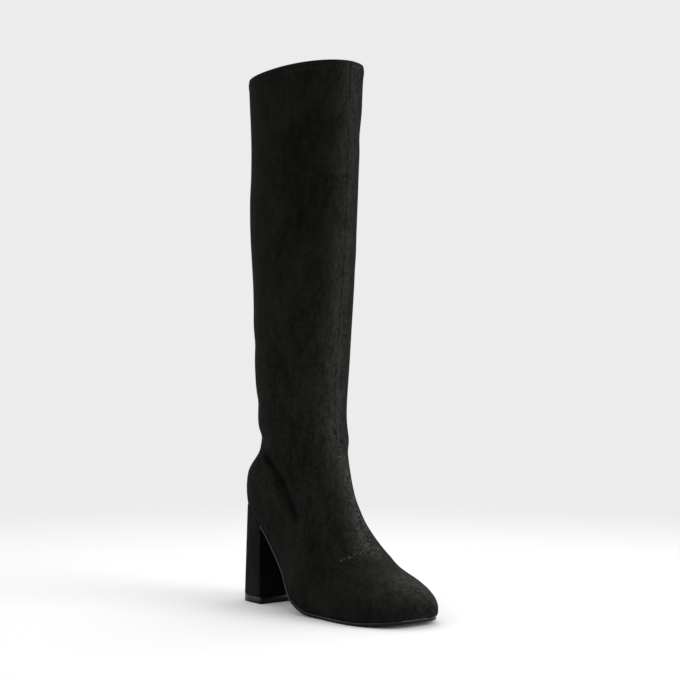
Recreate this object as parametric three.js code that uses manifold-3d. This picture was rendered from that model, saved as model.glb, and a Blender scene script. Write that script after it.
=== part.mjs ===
/**
 * Knee-high boot for the right foot: a close shaft on a block heel, with a short
 * zip on the inner side that runs from the arch to the middle of the calf.
 *
 * Millimetres. +X runs from the heel to the toe, +Y to the inner side of the foot
 * and +Z up. The origin is the middle of the heel's tread, on the floor.
 */
import * as THREE from 'three';
import { mergeVertices } from 'three/addons/utils/BufferGeometryUtils.js';
import Module from 'manifold-3d';

const wasm = await Module();
wasm.setup();

// ---------------------------------------------------------------- driving sizes
const GAP = 0.3; // air between pieces that meet
const WALL = 1.8; // face suede, backer and lining together
const TOE_TIP = 202; // from the middle of the heel's tread to the tip of the toe
const COLLAR_HEIGHT = 481;
const BALL_WIDTH = 86.5;
const SEAT_HEIGHT = 90.5; // back of the heel seat above the floor

const SOLE_THICKNESS = 3;
const SOLE_EDGE = 0.8; // how far the sole's edge stands out past the upper
const INSOLE_THICKNESS = 2.4;

const HEEL_BREAST = 20.7; // front face of the heel, at its foot
const HEEL_BACK = -20;
const HEEL_HALF_WIDTH = 30.2;
const HEEL_ROUND_LENGTH = 24; // the rounded stretch at the back of the heel
const TOP_PIECE_THICKNESS = 6;

const SLIT_WIDTH = 4.6;
const TAPE_WIDTH = 15;
const TAPE_THICKNESS = 0.8;
const CHAIN_WIDTH = 3.6;
const CHAIN_THICKNESS = 1.4;

const RING_POINTS = 42; // points round each section of the upper
const TOE_STEPS = 9;

// -------------------------------------------------------------------- the last
/**
 * Sections of the upper from collar to ball. Each is an oval in the plane that holds
 * its back end and its front end (side view), with a half width to either side, the
 * swing of its middle towards the inner side, and where along it it is widest.
 * backPower above 2 squares off the back, or underfoot, end.
 */
const SECTIONS = [
  { at: 'collar', backX: -24, backZ: COLLAR_HEIGHT, frontX: 115, frontZ: COLLAR_HEIGHT - 1,
    outer: 36.5, inner: 41, swing: 0.5, widest: 0.5, backPower: 2.3, frontPower: 2.1 },
  { at: 'upper calf', backX: -26.5, backZ: 416, frontX: 110.5, frontZ: 416,
    outer: 35, inner: 40, swing: 1.2, widest: 0.5, backPower: 2, frontPower: 2 },
  { at: 'calf', backX: -27.5, backZ: 350, frontX: 107, frontZ: 352,
    outer: 34.5, inner: 39.3, swing: 1.4, widest: 0.48, backPower: 2, frontPower: 2 },
  { at: 'middle', backX: -15, backZ: 284, frontX: 103.5, frontZ: 286,
    outer: 37.5, inner: 38.5, swing: 0, widest: 0.47, backPower: 2, frontPower: 2 },
  { at: 'lower calf', backX: -5, backZ: 226, frontX: 98, frontZ: 226,
    outer: 38.8, inner: 37.5, swing: -1.5, widest: 0.47, backPower: 2, frontPower: 2 },
  { at: 'ankle', backX: 1.5, backZ: 166, frontX: 95, frontZ: 171,
    outer: 36.8, inner: 35, swing: -2, widest: 0.46, backPower: 2, frontPower: 2 },
  { at: 'ankle bone', backX: 1.5, backZ: 140, frontX: 96.3, frontZ: 150,
    outer: 34, inner: 34.5, swing: -0.2, widest: 0.44, backPower: 2.1, frontPower: 2 },
  { at: 'counter', backX: -16, backZ: 115, frontX: 99, frontZ: 138.5,
    outer: 36.6, inner: 34, swing: 0.2, widest: 0.38, backPower: 2.3, frontPower: 2 },
  { at: 'seat', backX: -13.5, backZ: SEAT_HEIGHT - 10.5, frontX: 102.4, frontZ: 122.5,
    outer: 35, inner: 33.3, swing: 0.9, widest: 0.36, backPower: 2.6, frontPower: 2 },
  { at: 'heel breast', backX: 10, backZ: 55.7, frontX: 106.4, frontZ: 106,
    outer: 33.6, inner: 31.3, swing: 1.6, widest: 0.4, backPower: 2.8, frontPower: 2 },
  { at: 'waist', backX: 43, backZ: 24, frontX: 113, frontZ: 93.5,
    outer: 36, inner: 30.7, swing: 1.7, widest: 0.4, backPower: 3, frontPower: 2 },
  { at: 'instep', backX: 72, backZ: -5, frontX: 115.2, frontZ: 82,
    outer: 42.5, inner: 36, swing: 2.8, widest: 0.38, backPower: 3, frontPower: 2.1 },
  { at: 'ball', backX: 119.5, backZ: -8.5, frontX: 124, frontZ: 58,
    outer: BALL_WIDTH * 0.505, inner: BALL_WIDTH * 0.495, swing: 8.5, widest: 0.36,
    backPower: 3, frontPower: 2.2 },
];
const SPAN_STEPS = [2, 2, 2, 2, 3, 3, 3, 3, 3, 3, 3, 4];

/** The toe beyond the ball: where its tip is, and how its ridge and plan round off. */
const TOE = { tipZ: 18.5, tipSwing: 9.5, boxZ: 29, hollow: 44, ridgePower: 3.5, soleZ: -4,
  solePower: 5, planPower: 2.4 };

/** Feather edge, where upper meets sole: its height on the outer and the inner side. */
const FEATHER = [
  { x: -35, outerZ: 92, innerZ: 92 },
  { x: -17, outerZ: SEAT_HEIGHT, innerZ: SEAT_HEIGHT },
  { x: 3, outerZ: 83.5, innerZ: 84 },
  { x: 22, outerZ: 71.5, innerZ: 74 },
  { x: 43, outerZ: 51.5, innerZ: 60.5 },
  { x: 65, outerZ: 31, innerZ: 42.5 },
  { x: 85, outerZ: 11.5, innerZ: 25.5 },
  { x: 101, outerZ: 4, innerZ: 11.8 },
  { x: 114, outerZ: SOLE_THICKNESS + GAP, innerZ: 4.8 },
  { x: 125, outerZ: SOLE_THICKNESS + GAP, innerZ: SOLE_THICKNESS + GAP },
  { x: 157, outerZ: SOLE_THICKNESS + GAP, innerZ: SOLE_THICKNESS + GAP },
  { x: 181, outerZ: 5.2, innerZ: 5.2 },
  { x: 197, outerZ: 7.4, innerZ: 7.4 },
  { x: 215, outerZ: 11, innerZ: 11 },
];
const FEATHER_HALF_SPAN = 44; // outerZ and innerZ are heights this far from FEATHER_MIDDLE
const FEATHER_MIDDLE = 3;
const FEATHER_STATIONS = Array.from({ length: 75 }, (_, i) => -58 + 4 * i);

/** The zip's line in side view, on the inner side, from the arch up. */
const ZIP_LINE = [
  { x: 52.5, z: 56.5 },
  { x: 49.5, z: 67 },
  { x: 46, z: 86 },
  { x: 43.4, z: 106 },
  { x: 42, z: 131 },
  { x: 40, z: 160 },
  { x: 36.8, z: 194 },
  { x: 33, z: 231 },
  { x: 32, z: 241 },
];
const ZIP_STATIONS = Array.from({ length: 27 }, (_, i) => i / 26);
const SLIDER_AT = 0.948; // share of the zip's length below the middle of the slider

// ---------------------------------------------------------------- small helpers
const SECTION_KEYS = ['backX', 'backZ', 'frontX', 'frontZ', 'outer', 'inner', 'swing',
  'widest', 'backPower', 'frontPower'];

/** Cubic Hermite step of length h between two values with given slopes. */
function hermite(start, end, startSlope, endSlope, h, f) {
  const f2 = f * f;
  const f3 = f2 * f;
  return (2 * f3 - 3 * f2 + 1) * start + (f3 - 2 * f2 + f) * h * startSlope
    + (3 * f2 - 2 * f3) * end + (f3 - f2) * h * endSlope;
}

/** Slope at each knot of a smooth curve: the weighted mean of the slopes on both sides. */
function knotSlopes(knots, values) {
  const rise = (i) => (values[i + 1] - values[i]) / (knots[i + 1] - knots[i]);
  return values.map((_, i) => {
    if (i === 0) return rise(0);
    if (i === values.length - 1) return rise(i - 1);
    const before = knots[i] - knots[i - 1];
    const after = knots[i + 1] - knots[i];
    return (rise(i - 1) * after + rise(i) * before) / (before + after);
  });
}

/** Slopes that never overshoot, for the feather edge's flat stretch on the floor. */
function levelSlopes(knots, values) {
  const rise = (i) => (values[i + 1] - values[i]) / (knots[i + 1] - knots[i]);
  return values.map((_, i) => {
    if (i === 0) return rise(0);
    if (i === values.length - 1) return rise(i - 1);
    const left = rise(i - 1);
    const right = rise(i);
    return left * right <= 0 ? 0 : (2 * left * right) / (left + right);
  });
}

// -------------------------------------------------------------- form of the upper
/** A section of the toe, u from 0 at the ball to 1 at the tip. */
function toeSection(u) {
  const ball = SECTIONS[SECTIONS.length - 1];
  const ridge = ball.frontZ + (TOE.boxZ - ball.frontZ) * u - TOE.hollow * u * (1 - u) ** 3;
  const sole = ball.backZ + (TOE.soleZ - ball.backZ) * u;
  const plan = (1 - u ** TOE.planPower) ** (1 / TOE.planPower);
  return {
    ...ball,
    backX: ball.backX + (TOE_TIP - 1 - ball.backX) * u,
    frontX: ball.frontX + (TOE_TIP - ball.frontX) * u,
    backZ: TOE.tipZ + (sole - TOE.tipZ) * Math.sqrt(1 - u ** TOE.solePower),
    frontZ: TOE.tipZ + (ridge - TOE.tipZ) * Math.sqrt(1 - u ** TOE.ridgePower),
    outer: ball.outer * plan,
    inner: ball.inner * plan,
    swing: TOE.tipSwing * (1 - plan) + ball.swing * plan,
  };
}

/** Spline through SECTIONS, with one toe section beyond the ball to steer its end. */
function makeSectionSpline() {
  const rows = [...SECTIONS, toeSection(0.3)];
  const middle = (row) => [(row.backX + row.frontX) / 2, (row.backZ + row.frontZ) / 2];
  const knots = [0];
  for (let i = 1; i < rows.length; i++) {
    const [x0, z0] = middle(rows[i - 1]);
    const [x1, z1] = middle(rows[i]);
    knots.push(knots[i - 1] + Math.sqrt(Math.hypot(x1 - x0, z1 - z0)));
  }
  const slopes = {};
  for (const key of SECTION_KEYS) slopes[key] = knotSlopes(knots, rows.map((row) => row[key]));
  return { rows, knots, slopes };
}
const spline = makeSectionSpline();

/** The section at t, where whole numbers are the rows of SECTIONS. */
function sectionAt(t) {
  const i = Math.min(Math.floor(t), SECTIONS.length - 2);
  const h = spline.knots[i + 1] - spline.knots[i];
  const section = {};
  for (const key of SECTION_KEYS) {
    const slope = spline.slopes[key];
    section[key] = hermite(spline.rows[i][key], spline.rows[i + 1][key], slope[i], slope[i + 1],
      h, t - i);
  }
  return section;
}

/** Point on a section: turn 0 is its front end, a quarter turn is the inner side. */
function sectionPoint(section, turn) {
  const c = Math.cos(turn);
  const s = Math.sin(turn);
  const power = c >= 0 ? section.frontPower : section.backPower;
  const reach = (Math.abs(c) ** power + Math.abs(s) ** power) ** (-1 / power);
  const length = c >= 0 ? 1 - section.widest : section.widest;
  const along = section.widest + length * c * reach;
  const side = (s >= 0 ? section.inner : section.outer) * s * reach;
  return new THREE.Vector3(
    section.backX + (section.frontX - section.backX) * along,
    section.swing + side,
    section.backZ + (section.frontZ - section.backZ) * along,
  );
}

/** All sections of the faceted form, from the collar to just short of the toe's tip. */
function allSections() {
  const sections = [];
  SPAN_STEPS.forEach((steps, span) => {
    for (let i = 0; i < steps; i++) sections.push(sectionAt(span + i / steps));
  });
  for (let i = 0; i < TOE_STEPS; i++) {
    sections.push(toeSection(Math.sin((i / TOE_STEPS) * (Math.PI / 2))));
  }
  return sections;
}

/** Rings of points of the upper's outside, moved in (or out) along the surface normal. */
function formRings(inset) {
  const rings = allSections().map((section) => {
    const ring = [];
    for (let k = 0; k < RING_POINTS; k++) {
      ring.push(sectionPoint(section, (k / RING_POINTS) * 2 * Math.PI));
    }
    return ring;
  });
  const tip = sectionPoint(toeSection(1), 0);
  const moved = rings.map((ring, i) => ring.map((point, k) => {
    const above = (rings[i - 1] ?? ring)[k];
    const below = rings[i + 1] ? rings[i + 1][k] : tip;
    const next = ring[(k + 1) % RING_POINTS];
    const last = ring[(k + RING_POINTS - 1) % RING_POINTS];
    const down = new THREE.Vector3().subVectors(below, above);
    const round = new THREE.Vector3().subVectors(next, last);
    const outward = new THREE.Vector3().crossVectors(down, round).normalize();
    return point.clone().addScaledVector(outward, -inset);
  }));
  return { rings: moved, tip: tip.clone().setX(tip.x - inset) };
}

/** Height of the feather edge's surface. It is level across, past its half span. */
function featherLevel(x, y) {
  const knots = FEATHER.map((row) => row.x);
  const clamped = THREE.MathUtils.clamp(x, knots[0], knots[knots.length - 1]);
  const i = Math.min(knots.findLastIndex((knot) => knot <= clamped), knots.length - 2);
  const h = knots[i + 1] - knots[i];
  const [outer, inner] = ['outerZ', 'innerZ'].map((key) => {
    const values = FEATHER.map((row) => row[key]);
    const slopes = levelSlopes(knots, values);
    return hermite(values[i], values[i + 1], slopes[i], slopes[i + 1], h, (clamped - knots[i]) / h);
  });
  const share = (y - FEATHER_MIDDLE + FEATHER_HALF_SPAN) / (2 * FEATHER_HALF_SPAN);
  return THREE.MathUtils.lerp(outer, inner, THREE.MathUtils.clamp(share, 0, 1));
}

/** Height of the feather edge's surface, raised by a distance square to it. */
function featherZ(x, y, raise = 0) {
  const slope = (featherLevel(x + 1, y) - featherLevel(x - 1, y)) / 2;
  return featherLevel(x, y) + raise * Math.hypot(1, slope);
}

// --------------------------------------------------------------- solids and cuts
/** Manifold solid from a list of points and triangles. */
function solidOf(points, triangles) {
  const vertProperties = new Float32Array(points.flatMap((p) => [p.x, p.y, p.z]));
  const triVerts = new Uint32Array(triangles);
  return new wasm.Manifold(new wasm.Mesh({ numProp: 3, vertProperties, triVerts }));
}

/** Manifold solid from a closed three.js geometry. */
function solidOfGeometry(geometry) {
  const bare = geometry.index ? geometry.toNonIndexed() : geometry.clone();
  bare.deleteAttribute('normal');
  bare.deleteAttribute('uv');
  const merged = mergeVertices(bare, 1e-4);
  const vertProperties = new Float32Array(merged.attributes.position.array);
  const triVerts = new Uint32Array(merged.index.array);
  return new wasm.Manifold(new wasm.Mesh({ numProp: 3, vertProperties, triVerts }));
}

/** Closed solid through rings of points, each ring with the same count, faces outwards. */
function skinRings(rings, startPoint, endPoint) {
  const solid = skinOnce(rings, startPoint, endPoint);
  if (solid.volume() > 0) return solid;
  return skinOnce(rings.map((ring) => [...ring].reverse()), startPoint, endPoint);
}

/** The skin over the rings, inside out where they run the other way round. */
function skinOnce(rings, startPoint, endPoint) {
  const count = rings[0].length;
  const points = [...rings.flat(), startPoint, endPoint];
  const start = points.length - 2;
  const end = points.length - 1;
  const triangles = [];
  for (let i = 0; i + 1 < rings.length; i++) {
    for (let k = 0; k < count; k++) {
      const a = i * count + k;
      const b = i * count + ((k + 1) % count);
      triangles.push(a, a + count, b, b, a + count, b + count);
    }
  }
  const last = (rings.length - 1) * count;
  for (let k = 0; k < count; k++) {
    const next = (k + 1) % count;
    triangles.push(start, k, next, end, last + next, last + k);
  }
  return solidOf(points, triangles);
}

/** Middle of a ring. */
function middleOf(ring) {
  const sum = new THREE.Vector3();
  for (const point of ring) sum.add(point);
  return sum.divideScalar(ring.length);
}

/** Solid of the whole form, moved in by inset, and carried on above the collar by rise. */
function formSolid(inset, rise) {
  const { rings, tip } = formRings(inset);
  if (rise > 0) {
    rings.unshift(rings[0].map((point) => point.clone().setZ(point.z + rise)));
  }
  return skinRings(rings, middleOf(rings[0]), tip);
}

/**
 * Solid of everything under the feather surface raised by a distance. All of them share
 * one faceting, so two of them never cross.
 */
function belowFeather(raise) {
  const edge = 90;
  const deep = -60;
  const across = [edge, FEATHER_MIDDLE + FEATHER_HALF_SPAN, FEATHER_MIDDLE - FEATHER_HALF_SPAN,
    -edge];
  const rings = FEATHER_STATIONS.map((x) => [
    new THREE.Vector3(x, -edge, deep),
    new THREE.Vector3(x, edge, deep),
    ...across.map((y) => new THREE.Vector3(x, y, featherZ(x, y, raise))),
  ]);
  return skinRings(rings, middleOf(rings[0]), middleOf(rings[rings.length - 1]));
}

/** Layer between two heights square to the feather surface. */
function featherLayer(lowRaise, highRaise) {
  return belowFeather(highRaise).subtract(belowFeather(lowRaise));
}

/** Standing prism over an outline in plan. */
function prism(outline, low, high) {
  const shape = new THREE.Shape(outline);
  const geometry = new THREE.ExtrudeGeometry(shape, { depth: high - low, bevelEnabled: false });
  geometry.translate(0, 0, low);
  return solidOfGeometry(geometry);
}

/** three.js mesh of a finished solid. */
function meshOf(name, solid, look) {
  const { vertProperties, triVerts } = solid.getMesh();
  const geometry = new THREE.BufferGeometry();
  geometry.setAttribute('position', new THREE.BufferAttribute(vertProperties, 3));
  geometry.setIndex(new THREE.BufferAttribute(triVerts, 1));
  geometry.computeVertexNormals();
  const mesh = new THREE.Mesh(geometry, new THREE.MeshStandardMaterial(look));
  mesh.name = name;
  return mesh;
}

// ------------------------------------------------------------------ upper, soles
/** Plan outline of the feather edge, from the back round the inner side to the toe. */
function featherOutline(grow) {
  const sections = [];
  for (let t = 7; t < 12; t += 0.125) sections.push(sectionAt(t));
  for (let i = 0; i < 24; i++) sections.push(toeSection(Math.sin((i / 24) * (Math.PI / 2))));
  const sides = { inner: [], outer: [] };
  for (const section of sections) {
    for (const [side, sign] of [['inner', 1], ['outer', -1]]) {
      const below = (turn) => {
        const p = sectionPoint(section, sign * turn);
        return p.z < featherZ(p.x, p.y);
      };
      if (!below(Math.PI * 0.999)) continue;
      let high = Math.PI * 0.999;
      let low = high;
      while (below(low) && low > 0.05) low -= 0.04;
      for (let i = 0; i < 20; i++) {
        const middle = (low + high) / 2;
        if (below(middle)) high = middle;
        else low = middle;
      }
      const edge = sectionPoint(section, sign * high);
      sides[side].push(new THREE.Vector2(edge.x, edge.y));
    }
  }
  const outline = [...sides.outer, ...sides.inner.reverse()];
  return growOutline(thinOutline(outline, 2.2), grow);
}

/** Drops points that lie closer than a spacing to the one before. */
function thinOutline(outline, spacing) {
  const kept = [outline[0]];
  for (const point of outline) {
    if (point.distanceTo(kept[kept.length - 1]) > spacing) kept.push(point);
  }
  if (kept[0].distanceTo(kept[kept.length - 1]) < spacing) kept.pop();
  return kept;
}

/** Moves an anticlockwise outline outwards. */
function growOutline(outline, grow) {
  const count = outline.length;
  return outline.map((point, i) => {
    const along = outline[(i + 1) % count].clone().sub(outline[(i + count - 1) % count]);
    const outward = new THREE.Vector2(along.y, -along.x).normalize();
    return point.clone().addScaledVector(outward, grow);
  });
}

/** Hollow upper: shaft, counter and vamp in one wall, open at the collar and underneath. */
function makeUpper(slit) {
  const hollow = formSolid(WALL, 8);
  return formSolid(0, 0).subtract(hollow).subtract(belowFeather(0)).subtract(slit);
}

/** Insole board, inside the upper's wall and on top of the sole and the heel. */
function makeInsole() {
  return formSolid(WALL + GAP, 8).intersect(featherLayer(0, INSOLE_THICKNESS));
}

/** Outsole from the heel's breast to the toe. */
function makeOutsole() {
  const plan = prism(featherOutline(SOLE_EDGE), -20, 130);
  const ahead = boxSolid([HEEL_BREAST + GAP, -90, -20], [240, 90, 130]);
  return plan.intersect(ahead).intersect(featherLayer(-GAP - SOLE_THICKNESS, -GAP));
}

// -------------------------------------------------------------------------- heel
/** Outline of the heel at one height: flat breast, straight sides and a round back. */
function heelOutline(back, breast, halfWidth, power = 2.6, steps = 16) {
  const outline = [new THREE.Vector2(breast, halfWidth)];
  for (let i = 0; i <= steps; i++) {
    const turn = Math.PI / 2 - (i / steps) * Math.PI;
    const c = Math.cos(turn);
    const s = Math.sin(turn);
    const reach = (c ** power + Math.abs(s) ** power) ** (-1 / power);
    outline.push(new THREE.Vector2(
      back + HEEL_ROUND_LENGTH * (1 - c * reach),
      halfWidth * s * reach,
    ));
  }
  outline.push(new THREE.Vector2(breast, -halfWidth));
  return outline;
}

/** Solid between two heel outlines at two heights. */
function heelLoft(lowOutline, lowZ, highOutline, highZ) {
  const low = lowOutline.map((p) => new THREE.Vector3(p.x, p.y, lowZ));
  const high = highOutline.map((p) => new THREE.Vector3(p.x, p.y, highZ));
  return skinRings([high, low], middleOf(high), middleOf(low));
}

/** Covered block heel, its seat cut to the bottom of the upper. */
function makeHeelBlock() {
  const foot = heelOutline(HEEL_BACK, HEEL_BREAST, HEEL_HALF_WIDTH);
  const seat = heelOutline(HEEL_BACK + 4.5, HEEL_BREAST - 1.7, HEEL_HALF_WIDTH - 0.2);
  const block = heelLoft(foot, TOP_PIECE_THICKNESS + GAP, seat, SEAT_HEIGHT + 6);
  return block.intersect(belowFeather(-GAP));
}

/** Top piece, the hard layer under the heel that meets the floor. */
function makeTopPiece() {
  return prism(heelOutline(HEEL_BACK, HEEL_BREAST, HEEL_HALF_WIDTH), 0, TOP_PIECE_THICKNESS);
}

// --------------------------------------------------------------------------- zip
/** Point of the upper's inner side at a place in side view. */
function innerSidePoint(x, z) {
  const offLine = (t) => {
    const s = sectionAt(t);
    return (s.frontX - s.backX) * (z - s.backZ) - (s.frontZ - s.backZ) * (x - s.backX);
  };
  let low = 0;
  let high = SECTIONS.length - 1;
  for (let i = 0; i < 40; i++) {
    const middle = (low + high) / 2;
    if (offLine(middle) > 0) high = middle;
    else low = middle;
  }
  const s = sectionAt(low);
  const along = Math.hypot(x - s.backX, z - s.backZ)
    / Math.hypot(s.frontX - s.backX, s.frontZ - s.backZ);
  const forward = along > s.widest;
  const reach = Math.abs(along - s.widest) / (forward ? 1 - s.widest : s.widest);
  const power = forward ? s.frontPower : s.backPower;
  return new THREE.Vector3(x, s.swing + s.inner * (1 - reach ** power) ** (1 / power), z);
}

/** The zip's line in side view, bottom to top. */
const zipCurve = new THREE.CatmullRomCurve3(
  ZIP_LINE.map(({ x, z }) => new THREE.Vector3(x, 0, z)),
);

/** Outward normal of the upper's inner side at a place in side view. */
function innerSideNormal(x, z) {
  const small = 0.5;
  const forward = innerSidePoint(x + small, z).sub(innerSidePoint(x - small, z));
  const upward = innerSidePoint(x, z + small).sub(innerSidePoint(x, z - small));
  return new THREE.Vector3().crossVectors(upward, forward).normalize();
}

/** Frame on the upper at a share of the zip's length: across, up and out. */
function zipFrame(share) {
  const place = zipCurve.getPointAt(share);
  const ahead = zipCurve.getTangentAt(share).multiplyScalar(0.5);
  const above = innerSidePoint(place.x + ahead.x, place.z + ahead.z);
  const below = innerSidePoint(place.x - ahead.x, place.z - ahead.z);
  const up = above.sub(below).normalize();
  const out = innerSideNormal(place.x, place.z);
  const across = new THREE.Vector3().crossVectors(up, out).normalize();
  return { origin: innerSidePoint(place.x, place.z), across, up, out };
}

/** Band that follows the zip and the upper's curve, between two shares of its length. */
function zipBand(width, low, high, startShare, endShare) {
  const places = [-0.5, -0.25, 0, 0.25, 0.5].map((side) => side * width);
  const between = ZIP_STATIONS.filter((share) => share > startShare && share < endShare);
  const rings = [startShare, ...between, endShare].map((share) => {
    const { origin, across } = zipFrame(share);
    const layer = (offset) => places.map((side) => {
      const { x, z } = origin.clone().addScaledVector(across, side);
      return innerSidePoint(x, z).addScaledVector(innerSideNormal(x, z), offset);
    });
    return [...layer(low), ...layer(high).reverse()];
  });
  return skinRings(rings, middleOf(rings[0]), middleOf(rings[rings.length - 1]));
}

/** Sizes of the slider and its pull, across (x), up (y) and out (z) from the upper. */
const SLIDER = {
  length: 11, shoulder: 3.7, waist: 2.7, plate: 1.1, backDepth: 3.3, neckFrom: 0.5,
  neckHalf: 1, bailHalf: 1.1, bailLow: -5.6, bailHigh: -0.4, bailLeg: 1, bailTop: 4.5,
};
const PULL = { axisY: -3, axisZ: 2.5, bar: 0.6, eye: 3.7, eyeHalf: 1.6, halfTop: 2.4,
  halfFoot: 2.9, length: 15.5, thickness: 1.1, slotHalf: 1.1, slotFrom: 10.2, slotTo: 13.4 };

/** Places a solid that was drawn in a frame's own axes. */
function placeIn(frame, solid) {
  const matrix = new THREE.Matrix4().makeBasis(frame.across, frame.up, frame.out);
  matrix.setPosition(frame.origin);
  return solid.transform(matrix.elements);
}

/** Axis-aligned box given by its corners. */
function boxSolid([x0, y0, z0], [x1, y1, z1]) {
  const geometry = new THREE.BoxGeometry(x1 - x0, y1 - y0, z1 - z0);
  geometry.translate((x0 + x1) / 2, (y0 + y1) / 2, (z0 + z1) / 2);
  return solidOfGeometry(geometry);
}

/** Flat plate over an outline given as half widths at heights. */
function plate(rows, depth, z) {
  const right = rows.map(({ half, y }) => new THREE.Vector2(half, y));
  const left = rows.map(({ half, y }) => new THREE.Vector2(-half, y)).reverse();
  const geometry = new THREE.ExtrudeGeometry(new THREE.Shape([...right, ...left]), {
    depth, bevelEnabled: false,
  });
  geometry.translate(0, 0, z);
  return solidOfGeometry(geometry);
}

/** Slider: a plate on each side of the tape, a neck between them and a bail in front. */
function makeSlider() {
  const s = SLIDER;
  const half = s.length / 2;
  const rows = [
    { half: s.waist - 0.6, y: -half },
    { half: s.waist, y: -half + 0.6 },
    { half: s.shoulder, y: half - 4 },
    { half: s.shoulder, y: half - 1 },
    { half: s.shoulder - 1, y: half },
  ];
  const front = plate(rows, s.plate, GAP);
  const back = plate(rows, s.plate, -s.backDepth - s.plate);
  const neck = boxSolid([-s.neckHalf, s.neckFrom, -s.backDepth - 0.2], [s.neckHalf, half - 1, 0.6]);
  const bail = boxSolid([-s.bailHalf, s.bailLow, 0.6], [s.bailHalf, s.bailHigh, s.bailTop]);
  const tunnel = boxSolid([-2, s.bailLow + s.bailLeg, GAP + s.plate],
    [2, s.bailHigh - s.bailLeg, s.bailTop - s.bailLeg]);
  return front.add(back).add(neck).add(bail.subtract(tunnel));
}

/** Pull tab in its own axes: it hangs from the bar at the origin, down -Y. */
function makePull() {
  const p = PULL;
  const rows = [
    { half: p.halfTop, y: p.bar },
    { half: p.halfTop, y: -p.eye },
    { half: p.halfTop - 0.4, y: -p.eye - 1.6 },
    { half: p.halfFoot, y: -p.length + 1.2 },
    { half: p.halfFoot - 1.2, y: -p.length },
  ].reverse();
  const tab = plate(rows, p.thickness, -p.thickness / 2);
  const eye = boxSolid([-p.eyeHalf, -p.eye, -2], [p.eyeHalf, -p.bar, 2]);
  const slot = boxSolid([-p.slotHalf, -p.slotTo, -2], [p.slotHalf, -p.slotFrom, 2]);
  return tab.subtract(eye).subtract(slot);
}

/** Frame of the pull: on the bail, and hanging straight down. */
function pullFrame() {
  const slider = zipFrame(SLIDER_AT);
  const origin = slider.origin.clone()
    .addScaledVector(slider.up, PULL.axisY)
    .addScaledVector(slider.out, PULL.axisZ);
  const up = new THREE.Vector3(0, 0, 1);
  up.addScaledVector(slider.across, -up.dot(slider.across)).normalize();
  const out = new THREE.Vector3().crossVectors(slider.across, up);
  return { origin, across: slider.across, up, out };
}

/** Tape behind the slit, ending above the insole, with a slot round the slider's neck. */
function makeTape(sliderFrame) {
  const low = -WALL - GAP - TAPE_THICKNESS;
  const band = zipBand(TAPE_WIDTH, low, -WALL - GAP, 0.012, 0.995);
  const neck = boxSolid([-SLIDER.neckHalf - GAP, SLIDER.neckFrom - GAP, -8],
    [SLIDER.neckHalf + GAP, 30, 4]);
  return band.subtract(placeIn(sliderFrame, neck)).subtract(belowFeather(INSOLE_THICKNESS + GAP));
}

// ---------------------------------------------------------------------- assembly
const SUEDE = { color: 0x1d1c1a, roughness: 0.95, metalness: 0 };
const LINING = { color: 0x3a342c, roughness: 0.8, metalness: 0 };
const SOLE = { color: 0x111111, roughness: 0.3, metalness: 0 };
const TAPE = { color: 0x151515, roughness: 0.9, metalness: 0 };
const NICKEL = { color: 0xc9cace, roughness: 0.25, metalness: 1 };

/** All sub-parts of the boot. */
function makeBoot() {
  const boot = new THREE.Group();
  const sliderFrame = zipFrame(SLIDER_AT);
  const neckShare = SLIDER_AT - 0.004;
  const slit = zipBand(SLIT_WIDTH, -5, 4, 0, 1);
  const chain = zipBand(CHAIN_WIDTH, -WALL + 0.1, -WALL + 0.1 + CHAIN_THICKNESS, 0.012, neckShare);
  boot.add(
    meshOf('upper', makeUpper(slit), SUEDE),
    meshOf('insole', makeInsole(), LINING),
    meshOf('outsole', makeOutsole(), SOLE),
    meshOf('heel_block', makeHeelBlock(), SUEDE),
    meshOf('top_piece', makeTopPiece(), SOLE),
    meshOf('zip_tape', makeTape(sliderFrame), TAPE),
    meshOf('zip_chain', chain, TAPE),
    meshOf('zip_slider', placeIn(sliderFrame, makeSlider()), NICKEL),
    meshOf('zip_pull', placeIn(pullFrame(), makePull()), NICKEL),
  );
  return boot;
}

export default makeBoot();
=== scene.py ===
"""Looks of a knee-high boot for the right foot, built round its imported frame.

The boot stands on its sole. Sizes in this script are millimetres in the boot's own
axes, X to the toe, Y to the inner side of the foot and Z up, and they become metres
where a mesh is made. The upper and the sole are lofted from the shoemaker's sections,
because a foot's form can't be pulled out of a primitive; hardware is modelled by hand.
"""

import logging
import math
from contextlib import contextmanager
from dataclasses import astuple, dataclass, field
from enum import Enum
from typing import Callable, Iterator, Optional, Sequence

import bmesh
import bpy
import numpy as np
from mathutils import Matrix, Vector
from mathutils.bvhtree import BVHTree


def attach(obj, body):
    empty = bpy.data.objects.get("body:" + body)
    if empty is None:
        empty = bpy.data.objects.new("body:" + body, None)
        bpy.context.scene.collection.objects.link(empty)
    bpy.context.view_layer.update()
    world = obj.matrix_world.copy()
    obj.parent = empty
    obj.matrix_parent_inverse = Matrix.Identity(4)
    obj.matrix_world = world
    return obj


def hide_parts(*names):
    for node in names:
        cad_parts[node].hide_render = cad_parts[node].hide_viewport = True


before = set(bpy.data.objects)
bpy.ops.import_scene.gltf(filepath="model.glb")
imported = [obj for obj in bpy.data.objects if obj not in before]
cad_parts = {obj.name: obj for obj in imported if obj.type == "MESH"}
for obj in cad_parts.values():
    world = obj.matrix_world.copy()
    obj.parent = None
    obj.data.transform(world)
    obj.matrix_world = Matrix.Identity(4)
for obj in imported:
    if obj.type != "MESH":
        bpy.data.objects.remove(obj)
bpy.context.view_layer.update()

log = logging.getLogger("boot")

MM = 0.001
GAP = 0.3  # air between pieces that meet
BLOCK = 3000  # points measured against a path at a time, to spare memory

Array = np.ndarray
Point = tuple[float, float, float]


class Body(Enum):
    """Bodies of the frame that a piece can ride on."""

    BOOT = "boot"
    PULL_TAB = "pull_tab"


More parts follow.
